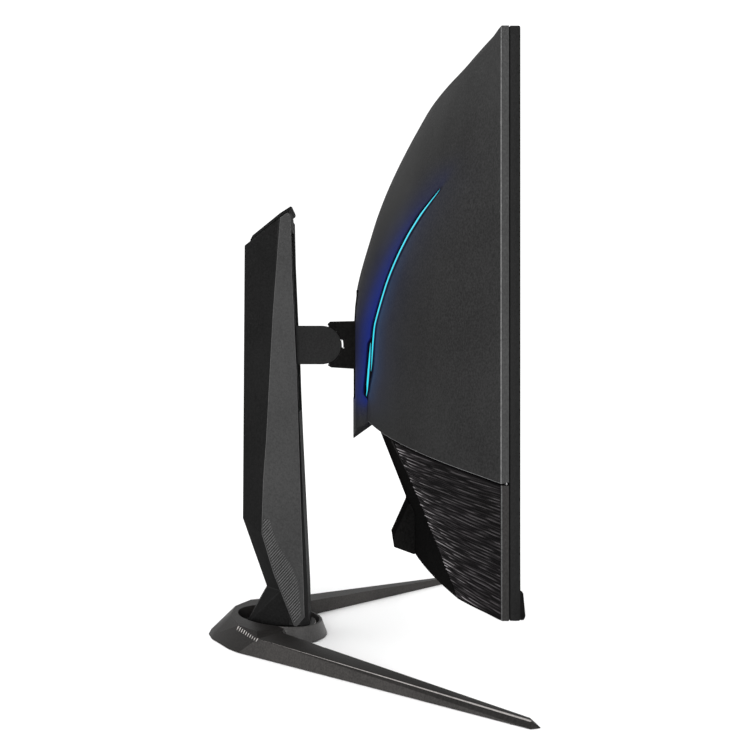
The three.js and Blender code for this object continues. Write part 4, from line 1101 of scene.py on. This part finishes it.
def base_casting():
    """The hub and both feet, seen as one casting: a bowl, a faceted tail and two bladed feet."""
    low, high = box_mm("base_hub")
    floor = low[2]
    tail = high[1]
    tip = box_mm("foot_right")[0][1]
    block_hull = hull("hub_block", mirrored([
        (0, tail, floor), (17, 126, floor), (50, 106.6, floor), (*FOOT_ROOT, floor), (66, 70, floor),
        (52, 52, floor), (0, tail - 2.4, 5), (17, 123.4, 5), (22, 102, 28), (33, 94, 28), (44, 84, 25),
        SHOULDER, RIDGE_START,
        (56, 74, 15.6), (48, 60, 15.6),
    ]))
    flare = hull("hub_flare", [*circle(43.6, floor), *circle(44.0, 0.9), *circle(43.9, 1.7), *circle(39.2, 14.2)])
    made = boolean(block_hull, flare, "UNION")
    boolean(made, cylinder("hub_wall", "z", (2, 40), (0, SWIVEL_Y), 39.0, 96), "UNION")
    for side in (1, -1):
        foot = hull("foot_blade", [(side * x, y, z) for x, y, z in [
            (*FOOT_ROOT, floor), (244, -124, floor), (241.4, tip, floor), (235, -126, floor), (34, 76, floor),
            RIDGE_START, RIDGE_END, (235, -125, 5.2), (36, 76, 16),
        ]])
        boolean(made, foot, "UNION")
    boolean(made, cylinder("hub_inside", "z", (5, 60), (0, SWIVEL_Y), HUB_INNER, 96), "DIFFERENCE")
    boolean(made, cylinder("hub_hole", "z", (-5, 60), (0, SWIVEL_Y), 17, 48), "DIFFERENCE")
    above = hull("above_rim", [(side * 90, y, z) for y, z in ((10, 11.6), (150, 26.2), (150, 60), (10, 60)) for side in (1, -1)])
    boolean(made, above, "DIFFERENCE")
    step = made.modifiers.new("flat", "DECIMATE")
    step.decimate_type = "DISSOLVE"
    step.angle_limit = math.radians(1.0)
    settle(made)
    # The ridges' bevel takes the edge slot: a painted highlight along each ridge.
    weigh_edges(made, cast_edge_weight, 14.0)
    bevel(made, 0.9, 2, weights=True).use_clamp_overlap = False
    settle(made)
    # Painted light and shade on the casting: sides of the feet and the ring's wall take lit copies of the finish, the
    # ring's with a painted highlight, the tops and tail keep the darker shaded copy, and only the ridges keep the
    # painted edge highlight.
    for polygon in made.data.polygons:
        x, y, z = polygon.center / MM
        from_axis = math.hypot(x, y - SWIVEL_Y)
        if polygon.material_index == 1:
            if not (abs(x) > RIDGE_START[0] - 1.0 and z > 3.5):
                polygon.material_index = 0
        elif abs(polygon.normal.z) < 0.6 and from_axis < 44.5 and y < 90:
            polygon.material_index = 3
        elif abs(polygon.normal.z) < 0.6 and abs(x) > 75.0:
            polygon.material_index = 2
    shade(made, 18)
    return finish_piece(made, "base", "base", ["base_hub", "foot_right", "foot_left"],
                        ("base", "base_edge", "base_side", "base_ring"))


def hub_ribs(name, side):
    """A row of short ribs down the shoulder where the tail meets the foot."""
    first = Vector((side * SHOULDER[0], *SHOULDER[1:]))
    last = Vector((side * RIDGE_START[0], *RIDGE_START[1:]))
    down = Vector((side * 1.0, 8.5, -14.0)).normalized()
    along = (last - first).normalized()
    out = along.cross(down).normalized()
    if out.x * side < 0:
        out = -out
    count = 10
    spans = []
    for i in range(count):
        top = first.lerp(last, i / (count - 1))
        spans.append([top + down * 0.4, top + down * (4.6 - 1.8 * i / (count - 1))])
    # The ribs are painted with the edge finish: a painted highlight over each.
    return ribs(name, spans, along, out, "base", "base",
                ((0.0, 0.2, 0.5), (0.2, 0.5, 0.5), (0.7, 0.35, 0.45), (1.0, -0.1, 0.3)), "base_edge")


# ------------------------------------------------------------ build
rear_shell()
for side_name, side in (("right", 1), ("left", -1)):
    light_blade("light_arc_" + side_name, side, 0.004, arc_share(MAIN_END_Z), main_inset, (0.035, 0.12),
                ["light_guide_" + side_name])
    light_blade("light_tail_" + side_name, side, arc_share(TAIL_START_Z), arc_share(TAIL_END_Z), tail_inset, (0.35, 0.3))
    lower_cover("lower_cover_" + side_name + "_skin", side, 11 if side > 0 else 5)
    hatch("panel_hatch_" + side_name, side)
    hub_ribs("hub_ribs_" + side_name, side)
centre_plate()
display_front()
chin_strip()
bracket_gap_shade()
base_casting()

# CAD nodes that stay: each gets its finish, and the edges of those in EASED are eased.
SLOTS = {part["node"]: part["material_slot"] for part in frame["record"]["subparts"]}
EASED = {
    "arm": 0.5, "bracket_cover": 0.5, "socket_hood": 0.6, "column_front_cover": 0.5, "column_rear_cover": 0.5,
    "column_panel_left": 0.45, "column_panel_right": 0.45, "column_cap": 0.45, "carriage": 0.4, "turntable": 0.5,
    "tilt_bracket": 0.3, "joystick_cap": 0.6, "power_button": 0.4, "vesa_plate": 0.3, "mast_plate": 0.3,
}
for name, node in NODES.items():
    if node.hide_render:
        continue
    node.data.materials.clear()
    finish_name = "arm" if name in ("arm", "column_front_cover") else SLOTS[name]
    # The second paint, for eased edges, is the finish's copy with a painted highlight.
    for paint in (finish_name, finish_name + "_edge"):
        node.data.materials.append(PAINTS[paint])
    weld = node.modifiers.new("weld", "WELD")
    weld.merge_threshold = 1e-6
    if name in EASED:
        flat = node.modifiers.new("flat", "DECIMATE")
        flat.decimate_type = "DISSOLVE"
        flat.angle_limit = math.radians(0.8)
        bevel(node, EASED[name], 2, angle=28)
    for polygon in node.data.polygons:
        polygon.use_smooth = False

# ------------------------------------------------------------ stage, light and camera
def stage_material():
    material = bpy.data.materials.new("stage_floor")
    material.use_nodes = True
    tree = material.node_tree
    shader = tree.nodes["Principled BSDF"]
    shader.inputs["Base Color"].default_value = (0.96, 0.96, 0.96, 1)
    shader.inputs["Roughness"].default_value = 0.9
    shader.inputs["Specular IOR Level"].default_value = 0.1
    return material


bm = bmesh.new()
bmesh.ops.create_circle(bm, cap_ends=True, segments=96, radius=14.0)
floor = from_bmesh("stage_floor", bm)
floor.data.materials.clear()
floor.data.materials.append(stage_material())

world = bpy.data.worlds.new("studio")
SCENE.world = world
world.use_nodes = True
world.node_tree.nodes["Background"].inputs["Color"].default_value = (1.0, 1.0, 1.0, 1)
world.node_tree.nodes["Background"].inputs["Strength"].default_value = 1.15
SCENE.view_settings.view_transform = "Standard"


def area_light(name, place, aim, size, power, colour=(1, 1, 1)):
    data = bpy.data.lights.new(name, "AREA")
    data.shape = "RECTANGLE"
    data.size, data.size_y = size
    data.energy = power
    data.color = colour
    lamp = bpy.data.objects.new(name, data)
    SCENE.collection.objects.link(lamp)
    lamp.location = place
    lamp.rotation_euler = (Vector(aim) - Vector(place)).to_track_quat("-Z", "Y").to_euler()
    return lamp


def sun_light(name, place, strength, angle_degrees):
    data = bpy.data.lights.new(name, "SUN")
    data.energy = strength
    data.angle = math.radians(angle_degrees)
    lamp = bpy.data.objects.new(name, data)
    SCENE.collection.objects.link(lamp)
    lamp.rotation_euler = (-Vector(place)).to_track_quat("-Z", "Y").to_euler()
    return lamp


sun_light("overhead", (-0.2, 0.3, 1.0), 0.35, 60)
area_light("key", (-2.4, 0.1, 0.45), (0, 0, 0.25), (1.2, 1.0), 85)
area_light("side", (-1.4, -1.9, 0.5), (0, 0, 0.25), (0.5, 1.8), 10)

CAMERA_DISTANCE = 0.953
CAMERA_Y = -0.009
CAMERA_HEIGHT = 0.25465
CAMERA_SHIFT = (13 / 750, -19 / 750)
camera_data = bpy.data.cameras.new("camera")
camera_data.lens = 50
camera_data.sensor_width = 36
camera_data.shift_x, camera_data.shift_y = CAMERA_SHIFT
camera_data.clip_start = 0.02
camera = bpy.data.objects.new("camera", camera_data)
SCENE.collection.objects.link(camera)
camera.location = (-CAMERA_DISTANCE, CAMERA_Y, CAMERA_HEIGHT)
camera.rotation_euler = (math.pi / 2, 0, -math.pi / 2)
SCENE.camera = camera
